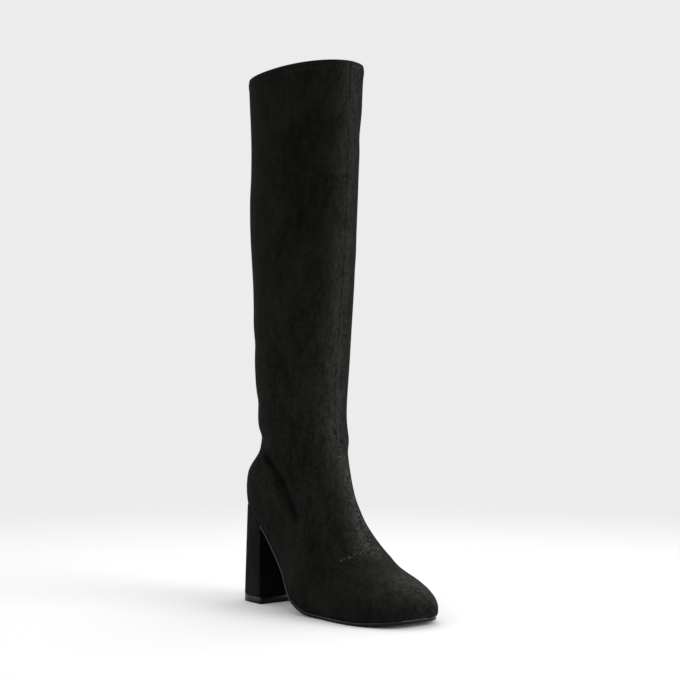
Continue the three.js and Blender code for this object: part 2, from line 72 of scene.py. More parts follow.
class Slot(Enum):
    """Material slots of the record that pieces made here use."""

    SUEDE = "black_suede"
    SOLE = "sole_edge"
    TAPE = "zip_tape"
    NICKEL = "bright_nickel"


# ------------------------------------------------------------------ curves and paths
def hermite(start: Array, end: Array, start_slope: Array, end_slope: Array,
            step: Array, f: Array) -> Array:
    """Cubic Hermite step between two values with given slopes.

    Args:
        start: Value at the start of the step.
        end: Value at its end.
        start_slope: Slope at the start.
        end_slope: Slope at the end.
        step: Length of the step.
        f: Share of the step, from 0 to 1.

    Returns:
        The value at f.
    """
    f2 = f * f
    f3 = f2 * f
    blend = (2 * f3 - 3 * f2 + 1) * start + (3 * f2 - 2 * f3) * end
    return blend + (f3 - 2 * f2 + f) * step * start_slope + (f3 - f2) * step * end_slope


def knot_slopes(knots: Array, values: Array) -> Array:
    """Slope at each knot of a smooth curve through rows of values.

    Args:
        knots: Places of the rows, rising.
        values: One row for each knot.

    Returns:
        Rows of slopes, each weighted between the slopes on both sides.
    """
    steps = np.diff(knots)[:, None]
    rise = np.diff(values, axis=0) / steps
    inner = (rise[:-1] * steps[1:] + rise[1:] * steps[:-1]) / (steps[:-1] + steps[1:])
    return np.vstack([rise[:1], inner, rise[-1:]])


def level_slopes(knots: Array, values: Array) -> Array:
    """Slopes that never overshoot, for an edge that lies flat on the floor.

    Args:
        knots: Places of the rows, rising.
        values: One row for each knot.

    Returns:
        Rows of slopes.
    """
    rise = np.diff(values, axis=0) / np.diff(knots)[:, None]
    left = rise[:-1]
    right = rise[1:]
    total = left + right
    safe = np.where(left * right > 0, total, 1.0)
    inner = np.where(left * right > 0, 2 * left * right / safe, 0.0)
    return np.vstack([rise[:1], inner, rise[-1:]])


def smooth_path(points: Sequence[Point], spacing: float) -> Array:
    """Evenly spaced points on a smooth curve through a few points.

    Args:
        points: Points that the curve passes.
        spacing: Distance between the points returned.

    Returns:
        Points on the curve, one to a row.
    """
    knots = np.asarray(points, float)
    padded = np.vstack([2 * knots[0] - knots[1], knots, 2 * knots[-1] - knots[-2]])
    fine = []
    for a, b, c, d in zip(padded, padded[1:], padded[2:], padded[3:]):
        f = np.linspace(0, 1, 24, endpoint=False)[:, None]
        fine.append(0.5 * (2 * b + (c - a) * f + (2 * a - 5 * b + 4 * c - d) * f**2
                           + (3 * b - 3 * c + d - a) * f**3))
    return even_path(np.vstack([*fine, knots[-1:]]), spacing)


def unit_rows(vectors: Array) -> Array:
    """Vectors, one to a row, each made one long."""
    return vectors / np.linalg.norm(vectors, axis=1)[:, None]


def run_lengths(path: Array) -> Array:
    """Distance along a path to each of its points."""
    return np.concatenate([[0], np.cumsum(np.linalg.norm(np.diff(path, axis=0), axis=1))])


def on_path(at: Array | float, lengths: Array, values: Array) -> Array:
    """Values between a path's points, at distances along it."""
    return np.stack([np.interp(at, lengths, column) for column in values.T], axis=-1)


def even_path(points: Array, spacing: float) -> Array:
    """A polyline with its points spaced evenly.

    Args:
        points: Points of the polyline.
        spacing: Distance wanted between points.

    Returns:
        Points on the same line.
    """
    lengths = run_lengths(points)
    count = max(2, round(lengths[-1] / spacing) + 1)
    return on_path(np.linspace(0, lengths[-1], count), lengths, points)


def measure_to_path(points: Array, path: Array) -> tuple[Array, Array]:
    """Distance of each point from a path, and the place along it.

    Args:
        points: Points to measure, one to a row.
        path: Closely spaced points of the path.

    Returns:
        Distance square to the path, and distance along it from its start.
    """
    tangents = unit_rows(np.gradient(path, axis=0))
    lengths = run_lengths(path)
    distance = np.empty(len(points))
    along = np.empty(len(points))
    for first in range(0, len(points), BLOCK):
        part = points[first:first + BLOCK]
        squares = ((part[:, None, :] - path[None, :, :]) ** 2).sum(2)
        near = squares.argmin(1)
        offset = part - path[near]
        run = (offset * tangents[near]).sum(1)
        past = ((near == 0) & (run < 0)) | ((near == len(path) - 1) & (run > 0))
        square = offset - run[:, None] * tangents[near]
        flat = np.where(past[:, None], offset, square)
        distance[first:first + BLOCK] = np.linalg.norm(flat, axis=1)
        along[first:first + BLOCK] = lengths[near] + np.where(past, 0, run)
    return distance, along


def bell(distance: Array, width: float) -> Array:
    """1 at no distance, falling smoothly to nothing over about two widths."""
    return np.exp(-((distance / width) ** 2))


def ease_in(value: Array, low: float, high: float) -> Array:
    """Smooth step from 0 to 1 between two values."""
    f = np.clip((value - low) / (high - low), 0, 1)
    return f * f * (3 - 2 * f)


def ripple(along: Array, pitch: float, seed: int) -> Array:
    """Uneven wave from -1 to 1 along a line.

    Args:
        along: Distance along the line.
        pitch: Mean length of a wave.
        seed: Seed of the wave's unevenness.

    Returns:
        Height of the wave at each place.
    """
    random = np.random.default_rng(seed)
    phases = random.uniform(0, 2 * math.pi, 3)
    turn = 2 * math.pi * along / pitch
    wave = np.sin(turn + phases[0]) + 0.6 * np.sin(turn * 0.61 + phases[1])
    return (wave + 0.5 * np.sin(turn * 1.73 + phases[2])) / 2.1


# ------------------------------------------------------------------- the boot's form
@dataclass(frozen=True)
class Section:
    """Oval section of the upper, in the plane through its back and front ends.

    Half widths lie to either side of its swing, and widest is where along it they
    are reached. A back_power above 2 squares the back, or underfoot, end.
    """

    back_x: float
    back_z: float
    front_x: float
    front_z: float
    outer: float
    inner: float
    swing: float
    widest: float
    back_power: float = 2.0
    front_power: float = 2.0


@dataclass(frozen=True)
class FeatherRow:
    """Height of the edge where upper meets sole, on the outer and the inner side."""

    x: float
    outer_z: float
    inner_z: float


class Feather:
    """The surface that the upper's bottom edge and the sole lie on."""

    ROWS = (
        FeatherRow(-35, 92, 92),
        FeatherRow(-17, 90.5, 90.5),
        FeatherRow(3, 83.5, 84),
        FeatherRow(22, 71.5, 74),
        FeatherRow(43, 51.5, 60.5),
        FeatherRow(65, 31, 42.5),
        FeatherRow(85, 11.5, 25.5),
        FeatherRow(101, 4, 11.8),
        FeatherRow(114, 3.3, 4.8),
        FeatherRow(125, 3.3, 3.3),
        FeatherRow(157, 3.3, 3.3),
        FeatherRow(181, 5.2, 5.2),
        FeatherRow(197, 7.4, 7.4),
        FeatherRow(215, 11, 11),
    )
    MIDDLE = 3.0
    HALF_SPAN = 44.0

    def __init__(self) -> None:
        """Prepares the curves along both sides."""
        rows = np.array([astuple(row) for row in self.ROWS])
        self.knots = rows[:, 0]
        self.heights = rows[:, 1:]
        self.slopes = level_slopes(self.knots, self.heights)

    def level(self, x: Array, y: Array) -> Array:
        """Height of the surface.

        Args:
            x: Places along the boot.
            y: Places across it.

        Returns:
            Heights.
        """
        clamped = np.clip(x, self.knots[0], self.knots[-1])
        below = np.searchsorted(self.knots, clamped, side="right") - 1
        i = np.clip(below, 0, len(self.knots) - 2)
        step = self.knots[i + 1] - self.knots[i]
        f = (clamped - self.knots[i]) / step
        sides = [
            hermite(self.heights[i, k], self.heights[i + 1, k], self.slopes[i, k],
                    self.slopes[i + 1, k], step, f)
            for k in (0, 1)
        ]
        share = np.clip((y - self.MIDDLE + self.HALF_SPAN) / (2 * self.HALF_SPAN), 0, 1)
        return sides[0] * (1 - share) + sides[1] * share

    def height(self, x: Array, y: Array, lift: Array | float = 0.0) -> Array:
        """Height of the surface, lifted by a distance square to it.

        Args:
            x: Places along the boot.
            y: Places across it.
            lift: Distance square to the surface.

        Returns:
            Heights.
        """
        slope = (self.level(x + 1, y) - self.level(x - 1, y)) / 2
        return self.level(x, y) + lift * np.hypot(1, slope)


class Last:
    """Form of the upper's outside. A station is 0 at the collar and 13 at the toe's tip."""

    # collar, three of the calf, two of the lower leg, ankle, heel, seat, the heel's
    # breast, waist, instep and ball
    SECTIONS = (
        Section(-24, 482.2, 115, 480.6, 36.5, 41, 0.5, 0.5, 2.3, 2.1),
        Section(-26.5, 416, 110.5, 416, 35, 40, 1.2, 0.5),
        Section(-27.5, 350, 107, 352, 34.5, 39.3, 1.4, 0.48),
        Section(-15, 284, 103.5, 286, 37.5, 38.5, 0, 0.47),
        Section(-5, 226, 98, 226, 38.8, 37.5, -1.5, 0.47),
        Section(1.5, 166, 95, 171, 36.8, 35, -2, 0.46),
        Section(1.5, 140, 96.3, 150, 34, 34.5, -0.2, 0.44, 2.1),
        Section(-16, 115, 99, 138.5, 36.6, 34, 0.2, 0.38, 2.3),
        Section(-14.5, 80, 103, 122.5, 35, 33.3, 0.9, 0.36, 2.6),
        Section(10, 55.7, 106.6, 106, 33.6, 31.3, 1.6, 0.4, 2.8),
        Section(43, 24, 113.2, 93.5, 36, 30.7, 1.7, 0.4, 3),
        Section(72, -5, 115.2, 82, 42.5, 36, 2.8, 0.38, 3, 2.1),
        Section(119.5, -8.5, 124, 58, 43.68, 42.82, 8.5, 0.36, 3, 2.2),
    )
    BALL_STATION = len(SECTIONS) - 1
    TOE_TIP = 202.0
    TIP_Z = 18.5
    TIP_SWING = 9.5
    TOE_BOX_Z = 29.0
    TOE_SOLE_Z = -4.0
    VAMP_HOLLOW = 44.0
    RIDGE_POWER = 3.5
    SOLE_POWER = 5
    PLAN_POWER = 2.4
    FIRST_TOE_ROW = 0.3  # share of the toe that steers the curves' slope at the ball

    def __init__(self) -> None:
        """Prepares the smooth curves through the sections."""
        rows = np.array([astuple(section) for section in self.SECTIONS])
        self.ball = rows[-1]
        self.rows = np.vstack([rows, self._toe_rows(np.array([self.FIRST_TOE_ROW]))])
        middles = (self.rows[:, 0:2] + self.rows[:, 2:4]) / 2
        steps = np.sqrt(np.linalg.norm(np.diff(middles, axis=0), axis=1))
        self.knots = np.concatenate([[0], np.cumsum(steps)])
        self.slopes = knot_slopes(self.knots, self.rows)

    def _toe_rows(self, u: Array) -> Array:
        """Sections of the toe, u from 0 at the ball to 1 at the tip."""
        ball = self.ball
        hollow = self.VAMP_HOLLOW * u * (1 - u) ** 3
        ridge = ball[3] + (self.TOE_BOX_Z - ball[3]) * u - hollow
        sole = ball[1] + (self.TOE_SOLE_Z - ball[1]) * u
        plan = (1 - u**self.PLAN_POWER) ** (1 / self.PLAN_POWER)
        rows = np.repeat(ball[None, :], len(u), axis=0)
        rows[:, 0] = ball[0] + (self.TOE_TIP - 1 - ball[0]) * u
        rows[:, 2] = ball[2] + (self.TOE_TIP - ball[2]) * u
        rows[:, 1] = self.TIP_Z + (sole - self.TIP_Z) * np.sqrt(1 - u**self.SOLE_POWER)
        rows[:, 3] = self.TIP_Z + (ridge - self.TIP_Z) * np.sqrt(1 - u**self.RIDGE_POWER)
        rows[:, 4] = ball[4] * plan
        rows[:, 5] = ball[5] * plan
        rows[:, 6] = self.TIP_SWING * (1 - plan) + ball[6] * plan
        return rows

    def rows_at(self, stations: Array) -> Array:
        """Section rows at any stations.

        Args:
            stations: Stations from 0 to 13.

        Returns:
            One row of section values for each.
        """
        i = np.clip(stations.astype(int), 0, self.BALL_STATION - 1)
        step = (self.knots[i + 1] - self.knots[i])[:, None]
        f = (stations - i)[:, None]
        rows = hermite(self.rows[i], self.rows[i + 1], self.slopes[i], self.slopes[i + 1],
                       step, f)
        toe = stations > self.BALL_STATION
        u = np.sin((stations[toe] - self.BALL_STATION) * math.pi / 2)
        rows[toe] = self._toe_rows(u)
        return rows

    def points(self, stations: Array, turns: Array) -> Array:
        """Points on the form.

        Args:
            stations: One station for each row of turns.
            turns: Angles round the section, 0 at its front, positive to the inner side.

        Returns:
            Points, with the shape of turns and three values each.
        """
        rows = self.rows_at(stations)[:, None, :]
        c = np.cos(turns)
        s = np.sin(turns)
        power = np.where(c >= 0, rows[..., 9], rows[..., 8])
        reach = (np.abs(c) ** power + np.abs(s) ** power) ** (-1 / power)
        widest = rows[..., 7]
        along = widest + np.where(c >= 0, 1 - widest, widest) * c * reach
        side = np.where(s >= 0, rows[..., 5], rows[..., 4]) * s * reach
        x = rows[..., 0] + (rows[..., 2] - rows[..., 0]) * along
        z = rows[..., 1] + (rows[..., 3] - rows[..., 1]) * along
        return np.stack([x, rows[..., 6] + side, z], axis=-1)

    def edge_turns(self, stations: Array, feather: Feather, sign: int) -> Array:
        """Angle at which each section meets the feather edge on one side.

        Args:
            stations: Stations to cut.
            feather: The surface that the upper ends on.
            sign: 1 for the inner side, -1 for the outer side.

        Returns:
            Angles up to half a turn, which is where a section isn't cut.
        """
        turns = np.linspace(0.04, 1, 481) * math.pi
        points = self.points(stations, sign * np.repeat(turns[None, :], len(stations), axis=0))
        above = points[..., 2] - feather.level(points[..., 0], points[..., 1])
        found = np.full(len(stations), math.pi)
        for row, clear in enumerate(above):
            if clear[-1] >= 0:
                continue
            last = np.nonzero(clear >= 0)[0].max()
            f = clear[last] / (clear[last] - clear[last + 1])
            found[row] = turns[last] + f * (turns[last + 1] - turns[last])
        return found


# --------------------------------------------------------------------- mesh by hand
def deselect_all() -> None:
    """Leaves object mode with nothing selected."""
    if bpy.context.object and bpy.context.object.mode != "OBJECT":
        bpy.ops.object.mode_set(mode="OBJECT")
    bpy.ops.object.select_all(action="DESELECT")


def activate(piece: bpy.types.Object) -> None:
    """Makes one object the only one selected."""
    deselect_all()
    piece.select_set(True)
    bpy.context.view_layer.objects.active = piece


def make_object(name: str, points: Array, faces: Sequence[Sequence[int]]) -> bpy.types.Object:
    """New object from points and faces.

    Args:
        name: Name of the object.
        points: Points in millimetres.
        faces: Lists of point numbers.

    Returns:
        The object, linked to the scene.
    """
    mesh = bpy.data.meshes.new(name)
    mesh.from_pydata((np.asarray(points) * MM).tolist(), [], [list(face) for face in faces])
    mesh.validate()
    piece = bpy.data.objects.new(name, mesh)
    bpy.context.scene.collection.objects.link(piece)
    return piece


def grid_faces(rows: int, columns: int, closed: bool) -> list[tuple[int, ...]]:
    """Quads of a grid of points.

    Args:
        rows: Number of rows.
        columns: Points in a row.
        closed: Whether each row closes on itself.

    Returns:
        Faces as tuples of point numbers.
    """
    faces = []
    for i in range(rows - 1):
        for j in range(columns if closed else columns - 1):
            k = (j + 1) % columns
            a = i * columns
            b = a + columns
            faces.append((a + j, b + j, b + k, a + k))
    return faces


def read_vectors(items: bpy.types.bpy_prop_collection, name: str) -> Array:
    """One vector of each point or face of a mesh, one to a row."""
    values = np.empty(len(items) * 3, np.float32)
    items.foreach_get(name, values)
    return values.reshape(-1, 3).astype(float)


def read_numbers(items: bpy.types.bpy_prop_collection, name: str) -> Array:
    """One whole number of each face or corner of a mesh."""
    values = np.empty(len(items), np.int32)
    items.foreach_get(name, values)
    return values


def points_of(piece: bpy.types.Object) -> Array:
    """Points of an object's mesh, in millimetres."""
    return read_vectors(piece.data.vertices, "co") / MM


def normals_of(piece: bpy.types.Object) -> Array:
    """Outward normals at the points of an object's mesh."""
    return read_vectors(piece.data.vertex_normals, "vector")


def set_points(piece: bpy.types.Object, points: Array) -> None:
    """Moves the points of an object's mesh to places in millimetres."""
    piece.data.vertices.foreach_set("co", (points * MM).astype(np.float32).ravel())
    piece.data.update()


def write_attribute(piece: bpy.types.Object, name: str, values: Array) -> None:
    """Stores a number at each point for a material to read.

    Args:
        piece: Object that gets the attribute.
        name: Name of the attribute.
        values: One number for each point.
    """
    attribute = piece.data.attributes.get(name)
    if attribute is None:
        attribute = piece.data.attributes.new(name, "FLOAT", "POINT")
    attribute.data.foreach_set("value", values.astype(np.float32))


@contextmanager
def editing(piece: bpy.types.Object, select: str = "SELECT") -> Iterator[None]:
    """Edit mode for one object, with all of its mesh selected or none of it."""
    activate(piece)
    bpy.ops.object.mode_set(mode="EDIT")
    bpy.ops.mesh.select_all(action=select)
    yield
    bpy.ops.object.mode_set(mode="OBJECT")


def merge_points(piece: bpy.types.Object, distance: float) -> None:
    """Merges points that lie closer than a distance in millimetres."""
    with editing(piece):
        bpy.ops.mesh.remove_doubles(threshold=distance * MM)


def face_outwards(piece: bpy.types.Object) -> None:
    """Turns the faces of a closed mesh outwards."""
    with editing(piece):
        bpy.ops.mesh.normals_make_consistent(inside=False)


def shade(piece: bpy.types.Object, angle: float = 180.0) -> None:
    """Smooth shading, with edges sharper than an angle in degrees left sharp."""
    activate(piece)
    if angle >= 180:
        bpy.ops.object.shade_smooth()
    else:
        bpy.ops.object.shade_smooth_by_angle(angle=math.radians(angle))


def apply_modifier(piece: bpy.types.Object, kind: str, **settings: object) -> None:
    """Adds a modifier and applies it.

    Args:
        piece: Object to change.
        kind: Type of the modifier.
        **settings: Its settings.
    """
    activate(piece)
    modifier = piece.modifiers.new(kind.lower(), kind)
    for key, value in settings.items():
        setattr(modifier, key, value)
    bpy.ops.object.modifier_apply(modifier=modifier.name)


def wear(piece: bpy.types.Object, slot: Slot, *materials: bpy.types.Material) -> None:
    """Gives an object its materials."""
    piece.data.materials.clear()
    for material in materials:
        piece.data.materials.append(material)


def place(piece: bpy.types.Object, body: Body) -> None:
    """Lets a piece ride on a body and reports it."""
    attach(piece, body.value)
    piece.data.calc_loop_triangles()
    log.info("%s: %d triangles", piece.name, len(piece.data.loop_triangles))


class Shaper:
    """One new mesh, shaped by hand in its own axes, in millimetres."""

    def __init__(self, name: str, low: Point, high: Point) -> None:
        """Starts from a cube between two corners.

        Args:
            name: Name of the object.
            low: Lowest corner.
            high: Highest corner.
        """
        deselect_all()
        middle = [(a + b) / 2 for a, b in zip(low, high)]
        size = [b - a for a, b in zip(low, high)]
        bpy.ops.mesh.primitive_cube_add(size=1, location=(0, 0, 0))
        self.piece = bpy.context.object
        self.piece.name = name
        self.piece.data.name = name
        with editing(self.piece):
            bpy.ops.transform.resize(value=size)
            bpy.ops.transform.translate(value=middle)

    def cut(self, point: Point, normal: Point) -> "Shaper":
        """Adds an edge loop where a plane crosses the whole shape."""
        with editing(self.piece):
            bpy.ops.mesh.bisect(plane_co=point, plane_no=normal)
        return self

    def resize(self, factors: Point, centre: Point, test: Callable[[Vector], bool]) -> "Shaper":
        """Scales the points that pass a test about a centre.

        Args:
            factors: Scale along each axis.
            centre: Point that stays in place.
            test: Says from a point's place whether it moves.

        Returns:
            The shape.
        """
        with editing(self.piece, "DESELECT"):
            bpy.ops.mesh.select_mode(type="VERT")
            mesh = bmesh.from_edit_mesh(self.piece.data)
            for point in mesh.verts:
                point.select_set(test(point.co))
            bmesh.update_edit_mesh(self.piece.data)
            bpy.ops.transform.resize(value=factors, center_override=centre)
        return self

    def bevel(self, width: float, segments: int, sharper: float = 30.0) -> "Shaper":
        """Rounds the edges sharper than an angle in degrees."""
        apply_modifier(self.piece, "BEVEL", width=width, segments=segments,
                       limit_method="ANGLE", angle_limit=math.radians(sharper))
        return self

    def punch(self, tool: "Shaper") -> "Shaper":
        """Cuts another shape out of this one and removes it."""
        apply_modifier(self.piece, "BOOLEAN", operation="DIFFERENCE", object=tool.piece,
                       solver="EXACT")
        bpy.data.objects.remove(tool.piece)
        return self

    def join(self, *others: "Shaper") -> "Shaper":
        """Joins other shapes into this one's mesh."""
        activate(self.piece)
        for other in others:
            other.piece.select_set(True)
        bpy.ops.object.join()
        return self

    def finish(self, matrix: Matrix) -> bpy.types.Object:
        """Puts the finished shape in its place.

        Args:
            matrix: From the shape's axes in millimetres to the boot's in metres.

        Returns:
            The object, at the origin, with its place in its mesh.
        """
        self.piece.data.transform(matrix)
        self.piece.data.update()
        shade(self.piece, 35)
        return self.piece


# ------------------------------------------------------------------- shader sockets
class Wire:
    """A shader socket that Python's operators work on."""

    def __init__(self, sheet: "Sheet", socket: bpy.types.NodeSocket) -> None:
        """Wraps a socket of a sheet of nodes."""
        self.sheet = sheet
        self.socket = socket

    def _math(self, operation: str, first: object, second: object = None) -> "Wire":
        """Result of a Math node on one or two values."""
        values = {0: first} if second is None else {0: first, 1: second}
        return self.sheet.add("ShaderNodeMath", {"operation": operation}, values)

    def __add__(self, other: object) -> "Wire":
        """Sum."""
        return self._math("ADD", self, other)

    __radd__ = __add__

    def __mul__(self, other: object) -> "Wire":
        """Product."""
        return self._math("MULTIPLY", self, other)

    __rmul__ = __mul__

    def __sub__(self, other: object) -> "Wire":
        """Difference."""
        return self._math("SUBTRACT", self, other)

    def __rsub__(self, other: object) -> "Wire":
        """Difference from a number."""
        return self._math("SUBTRACT", other, self)

    def wave(self) -> "Wire":
        """Sine of the value."""
        return self._math("SINE", self)

    def step(self, low: float, high: float) -> "Wire":
        """Smooth step from 0 to 1 between two values."""
        return self.sheet.add("ShaderNodeMapRange", {"interpolation_type": "SMOOTHSTEP"},
                              {0: self, 1: low, 2: high, 3: 0, 4: 1})


class Sheet:
    """Node tree of one new material."""

    def __init__(self, name: str) -> None:
        """Starts an empty node tree."""
        self.material = bpy.data.materials.new(name)
        self.material.use_nodes = True
        self.tree = self.material.node_tree
        self.tree.nodes.clear()

    def add(self, kind: str, settings: Optional[dict] = None, values: Optional[dict] = None,
            output: int | str = 0) -> Wire:
        """Adds a node.

        Args:
            kind: Type of the node.
            settings: Its own settings, set first.
            values: Numbers, colours or wires for its input sockets.
            output: Output socket to return.

        Returns:
            The output, as a wire.
        """
        node = self.tree.nodes.new(kind)
        for key, value in (settings or {}).items():
            setattr(node, key, value)
        for key, value in (values or {}).items():
            if isinstance(value, Wire):
                self.tree.links.new(value.socket, node.inputs[key])
            else:
                node.inputs[key].default_value = value
        return Wire(self, node.outputs[output])

    def place(self, stretch: Point = (1, 1, 1)) -> Wire:
        """Object coordinates, with a pattern's frequency scaled along each axis."""
        object_place = self.add("ShaderNodeTexCoord", output="Object")
        return self.add("ShaderNodeMapping", None, {"Vector": object_place, "Scale": stretch})

    def axes(self) -> list[Wire]:
        """Object coordinates, one wire for each axis."""
        place = self.place()
        return [self.add("ShaderNodeSeparateXYZ", None, {0: place}, axis) for axis in "XYZ"]

    def noise(self, scale: float, detail: float = 3, rough: float = 0.5,
              stretch: Point = (1, 1, 1)) -> Wire:
        """Noise from 0 to 1, scale in cells to a metre."""
        values = {"Vector": self.place(stretch), "Scale": scale, "Detail": detail,
                  "Roughness": rough}
        return self.add("ShaderNodeTexNoise", None, values)

    def read(self, name: str) -> Wire:
        """A number stored at the mesh's points."""
        return self.add("ShaderNodeAttribute", {"attribute_name": name}, None, "Fac")

    def mix(self, share: Wire, first: object, second: object) -> Wire:
        """Colour between two colours."""
        return self.add("ShaderNodeMix", {"data_type": "RGBA"},
                        {0: share, 6: first, 7: second}, 2)

    def bump(self, height: Wire, distance: float, below: Optional[Wire] = None,
             strength: float = 1.0) -> Wire:
        """Normal bent by a height.

        Args:
            height: Height from 0 to 1.
            distance: What a height of 1 stands for, in millimetres.
            below: Another bump under this one.
            strength: How far the bump counts.

        Returns:
            The normal.
        """
        values = {"Height": height, "Distance": distance * MM, "Strength": strength}
        if below is not None:
            values["Normal"] = below
        return self.add("ShaderNodeBump", None, values)

    def finish(self, **sockets: object) -> bpy.types.Material:
        """Ends the tree in a Principled shader.

        Args:
            **sockets: Its input sockets, with underscores for spaces.

        Returns:
            The material.
        """
        values = {key.replace("_", " "): value for key, value in sockets.items()}
        self.add_output(self.add("ShaderNodeBsdfPrincipled", None, values))
        return self.material

    def add_output(self, surface: Wire) -> None:
        """Joins a shader to the material's output."""
        output = self.tree.nodes.new("ShaderNodeOutputMaterial")
        self.tree.links.new(surface.socket, output.inputs["Surface"])


def grey(value: float, warm: float = 0.0) -> tuple[float, float, float, float]:
    """A grey, with less blue where warm is above 0."""
    return (value, value, value * (1 - warm), 1.0)


def turns_per(pitch: float) -> float:
    """Angle to a metre of a wave that repeats at a pitch in millimetres."""
    return 2 * math.pi / (pitch * MM)


@dataclass(frozen=True)
class Suede:
    """Short-napped black suede: mottled, with painted sheen where the brushed nap catches the
    light, painted shade in grooves and folds, and dusty seam flecks.
    """

    name: str
    deep: float = 0.0020
    nap: float = 0.0098
    sheen_and_lint: float = 0.034
    dusty: float = 0.13

    def make(self) -> bpy.types.Material:
        """Builds the material, which reads painted sheen, flecks and painted shade from its
        mesh.
        """
        sheet = Sheet(self.name)
        patches = sheet.noise(22, 4, 0.62)
        strokes = sheet.noise(110, 4, 0.65, (1.0, 1.0, 0.4))
        tufts = sheet.noise(330, 4, 0.7, (1.0, 1.0, 0.6))
        fuzz = sheet.noise(1300, 3, 0.7)
        grain = sheet.noise(620, 3, 0.65)
        mottle = (patches.step(0.36, 0.66) * 0.4 + strokes.step(0.34, 0.68) * 0.35
                  + tufts.step(0.35, 0.68) * 0.25)
        colour = sheet.mix(mottle, grey(self.deep, 0.1), grey(self.nap, 0.16))
        tufted = strokes.step(0.3, 0.7) * 0.3 + tufts.step(0.38, 0.62) * 0.5 + 0.2
        # painted sheen: the brushed nap lighter where it catches the light
        colour = sheet.mix(sheet.read("flash") * tufted, colour, grey(self.sheen_and_lint, 0.1))
        fleck = sheet.read("fleck") * grain.step(0.54, 0.66)
        colour = sheet.mix(fleck, colour, grey(self.dusty, 0.03))
        # painted shade: darker in seam grooves, the deepest fold, the zip's channel and on the
        # heel
        colour = sheet.mix(sheet.read("shade"), colour, grey(self.deep * 0.35))
        lint = fuzz.step(0.60, 0.78) * 0.30
        colour = sheet.mix(lint, colour, grey(self.sheen_and_lint * 0.9, 0.1))
        nap = sheet.bump(fuzz * 0.5 + grain * 0.5, 0.5)
        swell = sheet.bump(tufts * 0.5 + strokes * 0.5, 0.9, nap, 0.6)
        return sheet.finish(
            Base_Color=colour, Roughness=0.88 + mottle * 0.1, Normal=swell,
            Specular_IOR_Level=0.03, Sheen_Weight=0.016, Sheen_Roughness=0.4,
            Sheen_Tint=grey(0.85, 0.03),
        )


@dataclass(frozen=True)
class Lining:
    """Smooth knitted lining inside the shaft and over the insole."""

    name: str = "knit_lining"
    rib_pitch: float = 1.1
    loop_pitch: float = 0.8

    def make(self) -> bpy.types.Material:
        """Builds the material."""
        sheet = Sheet(self.name)
        x, y, z = sheet.axes()
        ribs = ((x + y) * turns_per(self.rib_pitch)).wave()
        loops = ((z - x * 0.3) * turns_per(self.loop_pitch)).wave()
        knit = (ribs * loops) * 0.5 + 0.5
        worn = sheet.noise(35, 4)
        colour = sheet.mix(worn.step(0.3, 0.7), grey(0.013), grey(0.024, 0.03))
        colour = sheet.mix(knit * 0.35, colour, grey(0.04))
        return sheet.finish(
            Base_Color=colour, Roughness=0.8 + worn * 0.12, Normal=sheet.bump(knit, 0.12),
            Sheen_Weight=0.15, Sheen_Roughness=0.5,
        )


@dataclass(frozen=True)
class SoleRubber:
    """Moulded black sole: glossy edge, finer and duller where it meets the floor."""

    name: str = "moulded_sole"
    tread_pitch: float = 3.2
    tread: bool = True

    def make(self) -> bpy.types.Material:
        """Builds the material."""
        sheet = Sheet(self.name)
        scuff = sheet.noise(180, 5, 0.62)
        haze = sheet.noise(24, 3)
        colour = sheet.mix(scuff.step(0.45, 0.8), grey(0.004), grey(0.009))
        rough = 0.24 + haze.step(0.3, 0.75) * 0.12 + scuff.step(0.6, 0.8) * 0.12
        normal = sheet.bump(scuff, 0.03)
        if self.tread:
            x, y, _ = sheet.axes()
            under = sheet.read("under")
            bars = (x * turns_per(self.tread_pitch)).wave()
            rows = (y * turns_per(5 * self.tread_pitch)).wave()
            ribs = (bars * 0.5 + 0.5).step(0.3, 0.7) * rows.step(-0.8, -0.5)
            normal = sheet.bump(ribs * under, 0.35, normal)
            rough = rough + under * 0.35
        return sheet.finish(
            Base_Color=colour, Roughness=rough, Normal=normal, Specular_IOR_Level=0.09,
            Coat_Weight=sheet.read("shine"), Coat_Roughness=0.14,
        )


@dataclass(frozen=True)
class Woven:
    """Black woven tape or nylon thread."""

    name: str
    pitch: float = 0.55
    dark: float = 0.006
    light: float = 0.022
    relief: float = 0.12
    roughness: float = 0.62
    gloss: float = 0.12

    def make(self) -> bpy.types.Material:
        """Builds the material."""
        sheet = Sheet(self.name)
        x, y, z = sheet.axes()
        turn = turns_per(self.pitch)
        warp = ((x + y * 0.6) * turn).wave()
        weft = ((z + x * 0.25) * turn).wave()
        weave = warp * weft * 0.5 + 0.5
        fuzz = sheet.noise(900, 3, 0.6)
        colour = sheet.mix(weave * 0.7 + fuzz * 0.3, grey(self.dark), grey(self.light))
        return sheet.finish(
            Base_Color=colour, Roughness=self.roughness + fuzz * 0.2,
            Normal=sheet.bump(weave, self.relief), Specular_IOR_Level=self.gloss,
            Sheen_Weight=0.03, Sheen_Roughness=0.4,
        )


@dataclass(frozen=True)
class Nickel:
    """Bright nickel plate with faint polishing marks and handling haze."""

    name: str = "bright_nickel_plate"

    def make(self) -> bpy.types.Material:
        """Builds the material."""
        sheet = Sheet(self.name)
        marks = sheet.noise(2200, 3, 0.6, (1, 1, 0.15))
        haze = sheet.noise(260, 3)
        colour = sheet.mix(haze.step(0.35, 0.75), grey(0.66), grey(0.84, 0.012))
        return sheet.finish(
            Base_Color=colour, Metallic=1.0, Roughness=0.16 + haze.step(0.3, 0.8) * 0.16,
            Normal=sheet.bump(marks, 0.02),
        )


